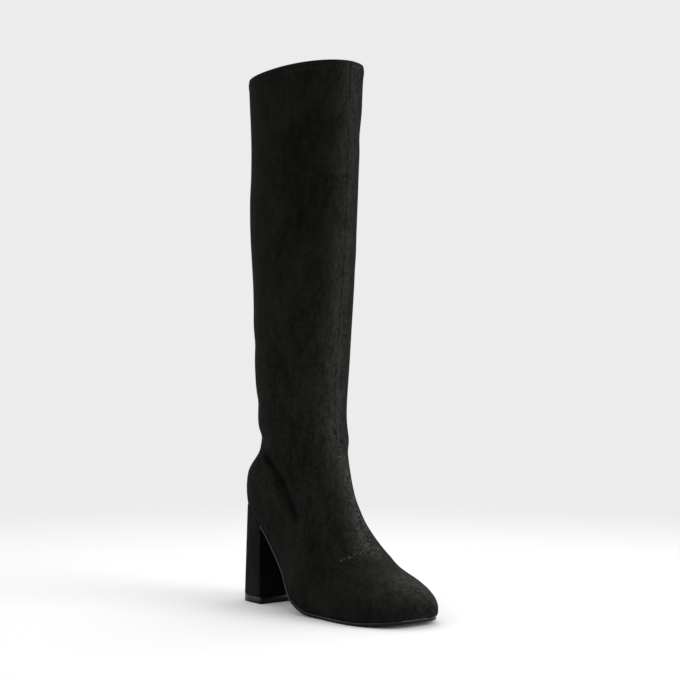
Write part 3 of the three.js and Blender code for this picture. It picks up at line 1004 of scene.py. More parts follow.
class Finishes:
    """Every finish of the boot, made once."""

    def __init__(self) -> None:
        """Makes the materials."""
        self.suede = Suede("black_suede_upper").make()
        # a lighter copy of the upper's suede: painted light that brightens the heel's sides
        self.lit_heel_suede = Suede("black_suede_heel", nap=0.0145).make()
        self.lining = Lining().make()
        self.sole = SoleRubber().make()
        self.top_piece = SoleRubber("hard_top_piece", tread=False).make()
        self.tape = Woven("zip_tape_weave").make()
        self.coil = Woven("nylon_coil", 0.4, 0.006, 0.02, 0.03, 0.32, 0.4).make()
        self.thread = Woven("black_thread", 0.35, 0.006, 0.02, 0.05, 0.6).make()
        self.nickel = Nickel().make()


# ------------------------------------------------------------------------ the upper
@dataclass(frozen=True)
class Fold:
    """Soft trough in the suede, with a rounded lip beside it."""

    points: tuple[Point, ...]
    depth: float
    width: float
    lip: float = 0.3
    lip_place: float = 2.1
    run_out: float = 0.3

    def push(self, places: Array) -> Array:
        """How far out the fold moves each point.

        Args:
            places: Points on the upper.

        Returns:
            Distances along the normals, below 0 in the trough.
        """
        path = smooth_path(self.points, 2.0)
        distance, along = measure_to_path(places, path)
        length = run_lengths(path)[-1]
        ease = ease_in(np.minimum(along, length - along), 0, self.run_out * length)
        trough = bell(distance, self.width)
        lip = self.lip * bell(distance - self.lip_place * self.width, self.width)
        return self.depth * (lip - trough) * ease


@dataclass(frozen=True)
class Seam:
    """Sewn line on the upper: a fine groove between lips that the stitches pucker."""

    path: Array
    depth: float = 0.45
    width: float = 0.7
    lip: float = 0.16
    pucker: float = 0.0
    pitch: float = 5.2
    seed: int = 1
    fleck: float = 0.0
    fade: float = 0.0
    gather_place: float = 2.4
    gather_width: float = 2.6

    def strength(self, along: Array) -> Array | float:
        """How strong the seam is along its line, less towards an end that fades."""
        return ease_in(run_lengths(self.path)[-1] - along, 0, self.fade) if self.fade else 1.0

    def push(self, places: Array) -> Array:
        """How far out the seam moves each point."""
        distance, along = measure_to_path(places, self.path)
        groove = -self.depth * bell(distance, self.width)
        lips = self.lip * bell(distance - 2.2 * self.width, 1.1 * self.width)
        gathers = self.pucker * ripple(along, self.pitch, self.seed)
        gathers *= bell(distance - self.gather_place, self.gather_width)
        return (groove + lips + gathers) * self.strength(along)


@dataclass(frozen=True)
class Patch:
    """Round patch, seen from above, for painted sheen on the brushed nap and for flecks."""

    x: float
    y: float
    radius: float
    strength: float
    squash: float = 1.0

    def at(self, places: Array) -> Array:
        """Strength of the patch at each point."""
        reach = np.hypot(places[:, 0] - self.x, (places[:, 1] - self.y) * self.squash)
        return self.strength * bell(reach, self.radius)


FOLDS = (
    # outer side: the deep fold over the counter, and the softer ones ahead of it
    Fold(((37, -36, 134), (47.7, -34.8, 123.7), (55.3, -32.2, 113), (61, -30.4, 101.5),
          (67.6, -29.3, 92), (75, -28.6, 82)), 3.4, 4.4, 0.3),
    Fold(((84, -23, 112), (92, -19.5, 104), (101, -16.2, 93), (110, -12.3, 78.5)), 1.1, 8),
    Fold(((90, -30, 74), (98, -29, 68), (106, -27, 64.5)), 0.7, 5),
    Fold(((3, -12, 160), (9, -26, 154), (22, -34, 148), (36, -36, 140)), 1.2, 4.5),
    Fold(((-2, -14, 196), (6, -28, 188), (24, -37, 178), (44, -38, 172)), 1.0, 7),
    Fold(((-9, -18, 246), (8, -33, 236), (30, -39, 226), (52, -38, 222)), 0.9, 9),
    Fold(((20, -37, 306), (44, -38, 290), (70, -32, 276), (88, -20, 266)), 0.8, 11),
    Fold(((56, -33, 366), (74.9, -28, 347.4), (85.2, -24, 335), (95, -17, 322)), 1.4, 8),
    Fold(((76, -28, 434), (88.7, -24.5, 420), (98.8, -17.7, 408), (106, -9.4, 396)), 1.8, 7.5),
    Fold(((-14, -22, 402), (6, -34, 390), (30, -36, 384)), 0.7, 12),
    # across the front of the ankle
    Fold(((90, -18, 160), (95.5, -6, 155), (95.5, 5, 155), (90, 17, 160)), 0.7, 4.2),
    Fold(((92, -19, 143), (98.5, -6, 139), (98.5, 7, 139), (92, 19, 143)), 0.9, 4.4),
    Fold(((97, -19, 118), (103.5, -6, 114), (103.5, 8, 114), (97, 21, 118)), 0.6, 4.8),
    # inner side
    Fold(((3, 10, 160), (9, 24, 154), (20, 32, 147)), 1.1, 4.5),
    Fold(((24, 32, 141), (32, 34.5, 130), (38, 34, 116)), 1.2, 3.6, 0.4),
    Fold(((58, 31, 156), (70, 27, 142), (84, 20, 130)), 0.9, 6),
    Fold(((50, 37, 318), (70, 33, 302), (90, 20, 290)), 0.9, 10),
    Fold(((-8, 22, 392), (14, 36, 378), (44, 40, 368)), 0.9, 11),
    Fold(((70, 33, 440), (90, 25, 424), (104, 13, 410)), 0.8, 10),
    Fold(((-4, 16, 214), (8, 28, 206), (24, 34, 200)), 0.8, 7),
)

COUNTER_SEAM_OUTER = (
    (1.5, -3, 152), (6, -21, 149), (18, -33, 144), (30, -36, 136), (41.7, -35.7, 123.9),
    (45.6, -33.6, 108.4), (52.5, -31.8, 93.2), (59.7, -31, 81.6), (72.4, -31.5, 69.4),
    (84.2, -32.9, 60.8), (100.6, -35.2, 48.4), (111.9, -34.5, 38.8), (122.5, -34.5, 29.5),
    (130, -35, 21),
)
COUNTER_SEAM_INNER = (
    (1.5, 3, 152), (8, 22, 149), (21.4, 29.8, 142.1), (30.3, 34.2, 129.3), (34.7, 34, 117.4),
    (38, 33.9, 104), (41.5, 33.5, 92),
)
CROSS_SEAM = (
    (125.6, -17, 46.8), (126.9, -10, 49.8), (127.4, -3.9, 51.8), (127.6, 3, 52.6),
    (127.4, 8.5, 53), (126.2, 14.5, 54), (123.5, 22.5, 55),
)
ZIP_LINE = (
    (52.5, 56.5), (49.5, 67), (46, 86), (43.4, 106), (42, 131), (40, 160), (36.8, 194),
    (33, 231), (32, 241),
)


# patches of painted sheen on the brushed nap of the toe and the instep
SHEEN_TOE = Patch(176, 20, 27, 1.0, 0.8)
SHEEN_INSTEP = Patch(126, 16, 17, 0.5)
FLECKED = (Patch(121, 13, 9.5, 0.75), Patch(184, 20, 16, 0.5))


class Skin:
    """Finds places on the finished outside of the upper."""

    def __init__(self, piece: bpy.types.Object) -> None:
        """Reads the outside of an object's mesh."""
        points = points_of(piece)
        faces = [tuple(face.vertices) for face in piece.data.polygons]
        self.tree = BVHTree.FromPolygons([Vector(p) for p in points], faces)

    def snap(self, path: Array) -> tuple[Array, Array]:
        """Moves a path on to the surface.

        Args:
            path: Points near the surface.

        Returns:
            The nearest points on it, and its normals there.
        """
        hits = [self.tree.find_nearest(Vector(p)) for p in path]
        return np.array([hit[0] for hit in hits]), np.array([hit[1] for hit in hits])

    def from_inner_side(self, x: float, z: float) -> tuple[Array, Array]:
        """Place and normal of the inner side of the boot at a place in side view."""
        hit = self.tree.ray_cast(Vector((x, 200, z)), Vector((0, -1, 0)))
        return np.array(hit[0]), np.array(hit[1])


@dataclass
class Upper:
    """Suede upper: one folded, seamed wall with its lining."""

    last: Last
    feather: Feather
    finishes: Finishes
    wall: float = 1.8
    hem: float = 7.0
    hem_stiffness: float = 40.0
    slack: float = 0.35
    seam_lean: float = 0.22
    seam_step: float = 0.8
    channel_depth: float = 1.15
    channel_half: float = 2.1
    hem_fold: float = 0.35
    rim_round: float = 0.55
    ridge_width: float = 13.0
    columns: int = 112
    front_crowding: float = 0.24
    toe_steps: int = 34
    turn_step: float = 0.05
    span_steps: tuple[int, ...] = (22, 22, 22, 22, 20, 12, 9, 12, 16, 14, 14, 16)
    seams: list[Seam] = field(default_factory=list)

    def build(self) -> None:
        """Builds and dresses the upper."""
        piece = self.lay_sheet()
        self.crumple(piece)
        self.skin = Skin(piece)
        self.mark_seams()
        self.thicken(piece)
        self.refine(piece)
        self.sew(piece)
        self.brush(piece)
        shade(piece)
        wear(piece, Slot.SUEDE, self.finishes.suede, self.finishes.lining)
        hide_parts("upper")
        place(piece, Body.BOOT)

    def lay_sheet(self) -> bpy.types.Object:
        """Lofts the outside from the collar to the toe, joined down the back."""
        stations = self.ring_stations()
        inner = self.last.edge_turns(stations, self.feather, 1)
        outer = self.last.edge_turns(stations, self.feather, -1)
        share = np.linspace(-1, 1, self.columns + 1)
        share = share * (1 - self.front_crowding + self.front_crowding * share**2)
        limit = np.where(share[None, :] >= 0, inner[:, None], outer[:, None])
        points = self.last.points(stations, share[None, :] * limit)
        points[-1] = points[-1].mean(0)
        faces = grid_faces(len(stations), self.columns + 1, closed=False)
        piece = make_object("suede_upper", points.reshape(-1, 3), faces)
        merge_points(piece, 0.02)
        return piece

    def ring_stations(self) -> Array:
        """Stations of the sheet's rings, close together where the seat cuts them fast."""
        steps = [*self.span_steps, self.toe_steps]
        fine = np.linspace(0, len(steps), len(steps) * 160 + 1)
        per_station = np.interp(fine, np.arange(len(steps)) + 0.5, steps)
        turns = [self.last.edge_turns(fine, self.feather, sign) for sign in (1, -1)]
        change = np.maximum(*(np.abs(np.gradient(turn, fine)) for turn in turns))
        rate = (per_station + change / self.turn_step)[:-1]
        count = np.concatenate([[0], np.cumsum(rate * np.diff(fine))])
        return np.interp(np.linspace(0, count[-1], round(count[-1]) + 1), count, fine)

    def crumple(self, piece: bpy.types.Object) -> None:
        """Presses the folds into the sheet."""
        places = points_of(piece)
        x, y, z = places.T
        push = sum(fold.push(places) for fold in FOLDS)
        below_hem = np.clip((self.last.SECTIONS[0].front_z - z) / self.hem_stiffness, 0, 1)
        slack = self.slack * np.sin(z / 23 + y / 17) * np.sin(x / 19 + 1.3)
        shaft = np.clip((z - 150) / 60, 0, 1)
        push = (push + slack * shaft) * below_hem
        set_points(piece, places + normals_of(piece) * push[:, None])

    def lay(self, path: Array) -> Array:
        """Lays a path on the sheet, with its points evenly spaced."""
        return self.skin.snap(even_path(path, self.seam_step))[0]

    def mark_seams(self) -> None:
        """Lays the seams' lines on the sheet."""
        front_stations = np.linspace(0, self.last.BALL_STATION, 300)
        lean = self.seam_lean * ease_in(front_stations, 6.0, 9.5)
        front = self.last.points(front_stations, lean[:, None])[:, 0]
        back_stations = np.linspace(0, 5.6, 200)
        back = self.last.points(back_stations, np.full((200, 1), math.pi))[:, 0]
        hem_station = np.full(1, self.hem / 65)
        round_turns = np.linspace(-math.pi, math.pi, 181)[None, :]
        hem = self.last.points(hem_station, round_turns)[0]
        zip_places = [(x, 40, z) for x, z in ZIP_LINE]
        zip_line = np.array([
            self.skin.from_inner_side(x, z)[0] for x, _, z in smooth_path(zip_places, 1.5)
        ])
        self.front_line = self.lay(front)
        self.hem_line = self.lay(hem)
        self.zip_line = even_path(zip_line, self.seam_step)
        self.cross_line, counter_outer, counter_inner = [
            self.lay(smooth_path(points, self.seam_step))
            for points in (CROSS_SEAM, COUNTER_SEAM_OUTER, COUNTER_SEAM_INNER)
        ]
        self.seams = [
            Seam(self.front_line, 0.5, 0.75, 0.22, 0.34, 5.2, 3, 1.0),
            Seam(self.lay(back), 0.4, 0.7, 0.14, 0.1, 6.5, 5, 0.06),
            Seam(self.hem_line, 0.38, 0.6, 0.1, 0.1, 4.4, 7, 0.05),
            Seam(self.cross_line, 0.5, 0.7, 0.2, 0.2, 4.6, 9, 0.8),
            Seam(counter_outer, 0.5, 0.7, 0.22, 0.1, 6.0, 11, 0.14, 70),
            Seam(counter_inner, 0.5, 0.7, 0.2, 0.1, 6.0, 13, 0.08),
        ]

    def thicken(self, piece: bpy.types.Object) -> None:
        """Gives the sheet its wall, with the lining on the inside."""
        piece.data.materials.append(self.finishes.suede)
        piece.data.materials.append(self.finishes.lining)
        apply_modifier(piece, "SOLIDIFY", thickness=self.wall * MM, offset=-1.0, use_rim=True,
                       material_offset=1, material_offset_rim=0)

    def refine(self, piece: bpy.types.Object) -> None:
        """Divides the outside's faces along the seams and the zip, twice."""
        lines = np.vstack([*(seam.path for seam in self.seams), self.zip_line])
        for reach in (4.6, 2.4):
            centres = read_vectors(piece.data.polygons, "center") / MM
            near = np.zeros(len(centres), bool)
            outside = np.nonzero(read_numbers(piece.data.polygons, "material_index") == 0)[0]
            for first in range(0, len(outside), BLOCK):
                part = outside[first:first + BLOCK]
                squares = ((centres[part][:, None] - lines[None, ::2]) ** 2).sum(2)
                near[part] = squares.min(1) < reach**2
            with editing(piece, "DESELECT"):
                bpy.ops.mesh.select_mode(type="FACE")
            piece.data.polygons.foreach_set("select", near)
            bpy.ops.object.mode_set(mode="EDIT")
            bpy.ops.mesh.subdivide(number_cuts=1, ngon=False)
            bpy.ops.object.mode_set(mode="OBJECT")

    def outside_points(self, piece: bpy.types.Object) -> Array:
        """Marks the points that lie only on the outside of the wall."""
        slots = read_numbers(piece.data.polygons, "material_index")
        counts = read_numbers(piece.data.polygons, "loop_total")
        corners = read_numbers(piece.data.loops, "vertex_index")
        lined = np.zeros(len(piece.data.vertices), bool)
        lined[corners[np.repeat(slots, counts) == 1]] = True
        return ~lined

    def sew(self, piece: bpy.types.Object) -> None:
        """Sinks the seams and the zip's channel, and doubles the hem."""
        places = points_of(piece)
        push = sum(seam.push(places) for seam in self.seams)
        distance, _ = measure_to_path(places, self.zip_line)
        channel = self.channel_depth * np.clip((self.channel_half - distance) / 0.9, 0, 1)
        lips = 0.3 * bell(distance - 3.0, 1.1)
        channel = np.where(places[:, 1] > 0, lips - channel, 0)
        collar = self.last.SECTIONS[0]
        fall = (collar.back_z - collar.front_z) / (collar.front_x - collar.back_x)
        rim = collar.back_z - (places[:, 0] - collar.back_x) * fall
        above = places[:, 2] - rim
        folded = self.hem_fold * np.clip((above + self.hem + 0.6) / 1.2, 0, 1)
        rounded = self.rim_round * np.clip((above + 0.9) / 0.9, 0, 1) ** 2
        push = (push + channel + folded - rounded) * self.outside_points(piece)
        set_points(piece, places + normals_of(piece) * push[:, None])

    def brush(self, piece: bpy.types.Object) -> None:
        """Marks painted sheen where the brushed nap catches the light, flecks at seams, and
        painted shade in grooves and folds.
        """
        places = points_of(piece)
        front, _ = measure_to_path(places, self.front_line)
        marks = {
            "flash": self._flash(places, front),
            "fleck": self._fleck(places, front),
            "shade": self._shade(places, front),
        }
        for name, values in marks.items():
            write_attribute(piece, name, np.clip(values, 0, 1))

    def _flash(self, places: Array, front: Array) -> Array:
        """Painted sheen on the brushed nap along the shin, on the instep and over the toe,
        stronger towards the inner side, which faces the key light.

        Args:
            places: Points of the upper.
            front: Their distances from the front seam.

        Returns:
            Strength at each point.
        """
        _, y, z = places.T
        toward_inner = np.clip(0.55 + y / 30, 0, 1)
        low = ease_in(-z, -420, -150)
        ridge = bell(front, self.ridge_width) * (0.16 + 0.34 * low + 0.32 * toward_inner)
        toe = SHEEN_TOE.at(places) * ease_in(z, 10, 26)
        instep = SHEEN_INSTEP.at(places) * ease_in(z, 30, 48)
        ankle = 0.13 * bell(z - 150, 130)
        return ridge + toe + instep + ankle

    def _fleck(self, places: Array, front: Array) -> Array:
        """Dusty flecks along the seams, on the vamp and at the toe.

        Args:
            places: Points of the upper.
            front: Their distances from the front seam.

        Returns:
            Strength at each point.
        """
        cross, _ = measure_to_path(places, self.cross_line)
        layers = [
            bell(front, 3.4) * (0.07 + 0.8 * ease_in(-places[:, 2], -200, -80)),
            0.8 * bell(cross, 1.5),
            *(patch.at(places) for patch in FLECKED),
        ]
        for seam in self.seams[1:]:
            near, along = measure_to_path(places, seam.path)
            layers.append(seam.fleck * bell(near, 1.6) * seam.strength(along))
        return np.maximum.reduce(layers)

    def _shade(self, places: Array, front: Array) -> Array:
        """Painted shade: dark lines in the front seam, in the deepest fold and in the zip's
        channel.

        Args:
            places: Points of the upper.
            front: Their distances from the front seam.

        Returns:
            Strength at each point.
        """
        deep, _ = measure_to_path(places, smooth_path(FOLDS[0].points, 1.0))
        zip_distance, _ = measure_to_path(places, self.zip_line)
        channel = np.clip((1.9 - zip_distance) / 0.6, 0, 1) * (places[:, 1] > 0)
        return np.maximum.reduce(
            [0.55 * bell(front, 0.55), 0.95 * bell(deep, 4.2), 0.8 * channel])


# ----------------------------------------------------------------- rows of stitches
class Tubes:
    """Short bent tubes of one size, gathered into one mesh."""

    def __init__(self, sides: int, girth: Array) -> None:
        """Starts without tubes.

        Args:
            sides: Points round a tube.
            girth: Its radius at each point of its core.
        """
        self.sides = sides
        self.girth = girth
        self.points: list[Array] = []
        self.faces: list[tuple[int, ...]] = []

    def add(self, core: Array, across: Array, out: Array, order: int = -1) -> None:
        """Adds a tube.

        Args:
            core: Points of its middle line.
            across: Direction of the first point of its rings.
            out: Direction square to that.
            order: 1 or -1, whichever turns its faces outwards.
        """
        turns = np.arange(self.sides) / self.sides * 2 * math.pi
        ring = np.cos(turns)[:, None] * across + np.sin(turns)[:, None] * out
        body = core[:, None, :] + ring[None] * self.girth[:, None, None]
        size = len(core) * self.sides
        first = len(self.points) * size
        faces = grid_faces(len(core), self.sides, closed=True)
        faces += [tuple(reversed(range(self.sides))), tuple(range(size - self.sides, size))]
        self.faces.extend(tuple(first + i for i in face[::order]) for face in faces)
        self.points.append(body.reshape(-1, 3))

    def make(self, name: str) -> bpy.types.Object:
        """One object with every tube."""
        piece = make_object(name, np.vstack(self.points), self.faces)
        shade(piece)
        return piece


@dataclass
class Stitching:
    """A row of thread stitches on the upper, as one joined mesh."""

    name: str
    upper: Upper
    material: bpy.types.Material
    length: float = 2.3
    gap: float = 1.0
    radius: float = 0.26
    sides: int = 6

    def build(self, lines: Sequence[Array]) -> None:
        """Sews a row along each of some paths near the surface."""
        tubes = Tubes(self.sides, np.array([0.45, 0.95, 1.0, 0.95, 0.45]) * self.radius)
        for line in lines:
            self._sew_line(line, tubes)
        piece = tubes.make(self.name)
        wear(piece, Slot.TAPE, self.material)
        place(piece, Body.BOOT)

    def _sew_line(self, line: Array, tubes: Tubes) -> None:
        """Adds the stitches of one path."""
        surface, normals = self.upper.skin.snap(even_path(line, 0.25))
        lengths = run_lengths(surface)
        pitch = self.length + self.gap
        profile = np.array([0.0, 0.14, 0.5, 0.86, 1.0])
        lift = np.array([-0.35, 0.1, 0.26, 0.1, -0.35])
        for k in range(int(lengths[-1] / pitch)):
            places = k * pitch + self.gap / 2 + profile * self.length
            core = on_path(places, lengths, surface)
            out = on_path(places[2], lengths, normals)
            along = core[-1] - core[0]
            along /= np.linalg.norm(along)
            tubes.add(core + out * lift[:, None], np.cross(out, along), out)


def beside(line: Array, normals: Array, offset: float) -> Array:
    """A path that runs beside another on the surface.

    Args:
        line: Points of the first path.
        normals: Surface normals there.
        offset: Distance to the side.

    Returns:
        Points of the new path.
    """
    return line + unit_rows(np.cross(normals, np.gradient(line, axis=0))) * offset


def turn_out(along: Array) -> Array:
    """Unit vectors in plan, a quarter turn clockwise from the ones given."""
    return unit_rows(np.column_stack([along[:, 1], -along[:, 0]]))


# ------------------------------------------------------------------------- the sole
@dataclass
class Outsole:
    """Thin moulded sole with a rounded, glossy edge."""

    last: Last
    feather: Feather
    finishes: Finishes
    thickness: float = 3.0
    overhang: float = 0.8
    toe_tuck: float = 1.5
    tucked_span: tuple[float, float] = (150, 194)
    shiny_span: tuple[float, float] = (60, 125)
    breast: float = 21.0
    spacing: float = 1.6
    fill_steps: int = 14
    fill_margins: tuple[float, float] = (16, 34)

    def outline(self) -> Array:
        """Plan outline from the breast along the outer side, round the toe and back."""
        ball = self.last.BALL_STATION
        stations = np.concatenate([np.arange(7.5, ball, 0.04),
                                   ball + np.linspace(0, 0.995, 90)])
        sides = []
        for sign in (-1, 1):
            turns = self.last.edge_turns(stations, self.feather, sign)
            cut = turns < math.pi * 0.9999
            edge = self.last.points(stations[cut], sign * turns[cut][:, None])[:, 0]
            sides.append(edge[edge[:, 0] > self.breast - 6])
        line = np.vstack([sides[0], sides[1][::-1]])
        line[:, 2] = 0
        line = even_path(line, self.spacing)
        tuck = self.toe_tuck * ease_in(line[:, 0], *self.tucked_span)
        line[:, :2] += turn_out(np.gradient(line, axis=0)) * (self.overhang - tuck)[:, None]
        kept = line[line[:, 0] > self.breast]
        start = np.array([self.breast, kept[0, 1], 0])
        end = np.array([self.breast, kept[-1, 1], 0])
        closing = np.linspace(end, start, 22)[1:-1]
        return np.vstack([start, kept, end, closing])

    def build(self) -> None:
        """Builds and dresses the sole."""
        line = self.outline()[:, :2]
        outward = turn_out(np.roll(line, -1, axis=0) - np.roll(line, 1, axis=0))
        middle = self._midline(line)
        # inset and height of the rounded edge, from the top face to the bottom face
        profile = [(1.6, 3.0), (0.75, 3.0), (0.32, 2.88), (0.08, 2.6), (0.0, 2.2), (0.0, 0.9),
                   (0.08, 0.42), (0.32, 0.12), (0.8, 0.0), (1.8, 0.0)]
        fill = np.linspace(1, 0.12, self.fill_steps)
        rings = [self._filled(line, outward, middle, profile[0], share) for share in fill]
        rings += [self._ring(line - outward * inset, height) for inset, height in profile]
        rings += [self._filled(line, outward, middle, profile[-1], share)
                  for share in fill[::-1]]
        faces = grid_faces(len(rings), len(line), closed=True)
        piece = make_object("sole_unit", np.vstack(rings), faces)
        merge_points(piece, 0.03)
        face_outwards(piece)
        places = points_of(piece)
        height = places[:, 2] - self.feather.height(
            places[:, 0], places[:, 1], -GAP - self.thickness)
        shade(piece)
        write_attribute(piece, "under", (height < 0.05).astype(float))
        write_attribute(piece, "shine",
                        bell(height - 2.9, 0.5) * ease_in(places[:, 0], *self.shiny_span))
        wear(piece, Slot.SOLE, self.finishes.sole)
        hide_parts("outsole")
        place(piece, Body.BOOT)

    def _midline(self, line: Array) -> Array:
        """For each outline point, the place that the sole's faces close on."""
        back, front = self.fill_margins
        x = np.clip(line[:, 0], self.breast + back, self.last.TOE_TIP - front)
        line = line[np.argsort(line[:, 0])]
        inner = line[:, 1] > self.feather.MIDDLE
        y = (np.interp(x, *line[inner].T) + np.interp(x, *line[~inner].T)) / 2
        return np.column_stack([x, y])

    def _ring(self, line: Array, height: float) -> Array:
        """A ring of points at a height above the sole's bottom."""
        lift = height - GAP - self.thickness
        z = self.feather.height(line[:, 0], line[:, 1], lift)
        return np.column_stack([line, z])

    def _filled(self, line: Array, outward: Array, middle: Array, edge: tuple[float, float],
                share: float) -> Array:
        """A ring of a flat face, drawn in from the edge towards the midline."""
        start = line - outward * edge[0]
        return self._ring(start + (middle - start) * share, edge[1])


# ------------------------------------------------------------------------- the heel
@dataclass
class Heel:
    """Block heel wrapped in suede, on a hard top piece."""

    feather: Feather
    finishes: Finishes
    back: float = -20.0
    breast: float = 20.7
    half_width: float = 30.2
    round_length: float = 24.0
    power: float = 2.6
    top_piece: float = 6.0
    seat_z: float = 96.5
    seat_back_in: float = 4.5
    seat_breast_in: float = 1.7
    seat_side_in: float = 0.2
    corner: float = 1.5
    levels: int = 40
    top_middle: float = 2.0

    def outline(self, back: float, breast: float, half_width: float) -> Array:
        """Outline at one height, from the breast's inner corner round the back."""
        turns = np.linspace(math.pi / 2, -math.pi / 2, 61)
        c = np.abs(np.cos(turns))
        s = np.sin(turns)
        reach = (c**self.power + np.abs(s) ** self.power) ** (-1 / self.power)
        x = back + self.round_length * (1 - c * reach)
        heel = np.column_stack([x, half_width * s * reach])
        side_x = np.linspace(back + self.round_length, breast - self.corner, 8)[1:]
        outer_side = np.column_stack([side_x, np.full(7, -half_width)])
        corner_turns = np.linspace(-math.pi / 2, 0, 6)[1:]
        corner = np.column_stack([
            breast - self.corner + self.corner * np.cos(corner_turns),
            -half_width + self.corner + self.corner * np.sin(corner_turns),
        ])
        face_y = np.linspace(-half_width + self.corner, half_width - self.corner, 20)[1:-1]
        face = np.column_stack([np.full(len(face_y), breast), face_y])
        mirrored = corner[::-1] * [1, -1]
        inner_side = outer_side[::-1] * [1, -1]
        return np.vstack([heel, outer_side, corner, face, mirrored, inner_side])

    def at(self, z: Array | float) -> tuple[float, float, float]:
        """Back, breast and half width at a height."""
        low = self.top_piece + GAP
        f = (z - low) / (self.seat_z - low)
        return (self.back + self.seat_back_in * f, self.breast - self.seat_breast_in * f,
                self.half_width - self.seat_side_in * f)

    def build(self) -> None:
        """Builds the covered block and its top piece."""
        self.build_block()
        self.build_top_piece()

    def build_block(self) -> None:
        """Builds the block, cut to the seat at its top."""
        low = self.top_piece + GAP
        foot = self.outline(*self.at(low))
        seat = self.outline(*self.at(self.seat_z))
        rings = []
        for share, rise in ((0, 0), (0.5, 0), (0.9, 0), (0.975, 0), (0.99, 0.12), (0.998, 0.4)):
            rings.append(np.column_stack([foot * share, np.full(len(foot), low + rise)]))
        for level in np.linspace(0.012, 1, self.levels):
            rise = np.full(len(foot), level)
            for _ in range(4):
                ring = foot + (seat - foot) * rise[:, None]
                top = self.feather.height(ring[:, 0], ring[:, 1], -GAP)
                z = low + (top - low) * level
                rise = (z - low) / (self.seat_z - low)
            rings.append(np.column_stack([ring, z]))
        middle = np.array([self.top_middle, 0.0])
        rim = rings[-1][:, :2]
        for share in (0.7, 0.35, 0.0):
            ring = middle + (rim - middle) * share
            z = self.feather.height(ring[:, 0], ring[:, 1], -GAP)
            rings.append(np.column_stack([ring, z]))
        faces = grid_faces(len(rings), len(foot), closed=True)
        piece = make_object("suede_heel", np.vstack(rings), faces)
        merge_points(piece, 0.01)
        face_outwards(piece)
        self.wrap(piece)
        shade(piece, 50)
        wear(piece, Slot.SUEDE, self.finishes.lit_heel_suede)
        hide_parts("heel_block")
        place(piece, Body.BOOT)

    def wrap(self, piece: bpy.types.Object) -> None:
        """Marks painted sheen and flecks on the corners where the suede that wraps the block
        turns round to the breast, painted shade along the top under the seat, and a painted
        shadow over the breast.
        """
        places = points_of(piece)
        x, y, z = places.T
        top = self.feather.level(x, y) - GAP
        rim = bell(top - z, 1.6)
        edge = bell(np.abs(np.abs(y) - self.half_width), 2.2) * bell(x - self.breast, 2.2)
        # painted sheen on the breast's corners
        write_attribute(piece, "flash", 0.3 * edge)
        write_attribute(piece, "fleck", 0.2 * edge)
        # painted shade under the seat, and a painted shadow over the breast
        write_attribute(piece, "shade", np.maximum(0.6 * rim, 0.85 * (x > self.breast - 2.4)))

    def build_top_piece(self) -> None:
        """Cuts the hard layer that meets the floor, with rounded edges."""
        outline = self.outline(self.back, self.breast, self.half_width)
        flat = np.column_stack([outline, np.zeros(len(outline))])
        piece = make_object("hard_top_piece", flat, [tuple(range(len(flat)))])
        with editing(piece):
            rise = {"value": (0, 0, self.top_piece * MM)}
            bpy.ops.mesh.extrude_region_move(TRANSFORM_OT_translate=rise)
        face_outwards(piece)
        apply_modifier(piece, "BEVEL", width=0.5 * MM, segments=3, limit_method="ANGLE",
                       angle_limit=math.radians(40))
        shade(piece, 40)
        height = points_of(piece)[:, 2]
        write_attribute(piece, "shine", bell(height - self.top_piece, 0.5))
        wear(piece, Slot.SOLE, self.finishes.top_piece)
        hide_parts("top_piece")
        place(piece, Body.BOOT)


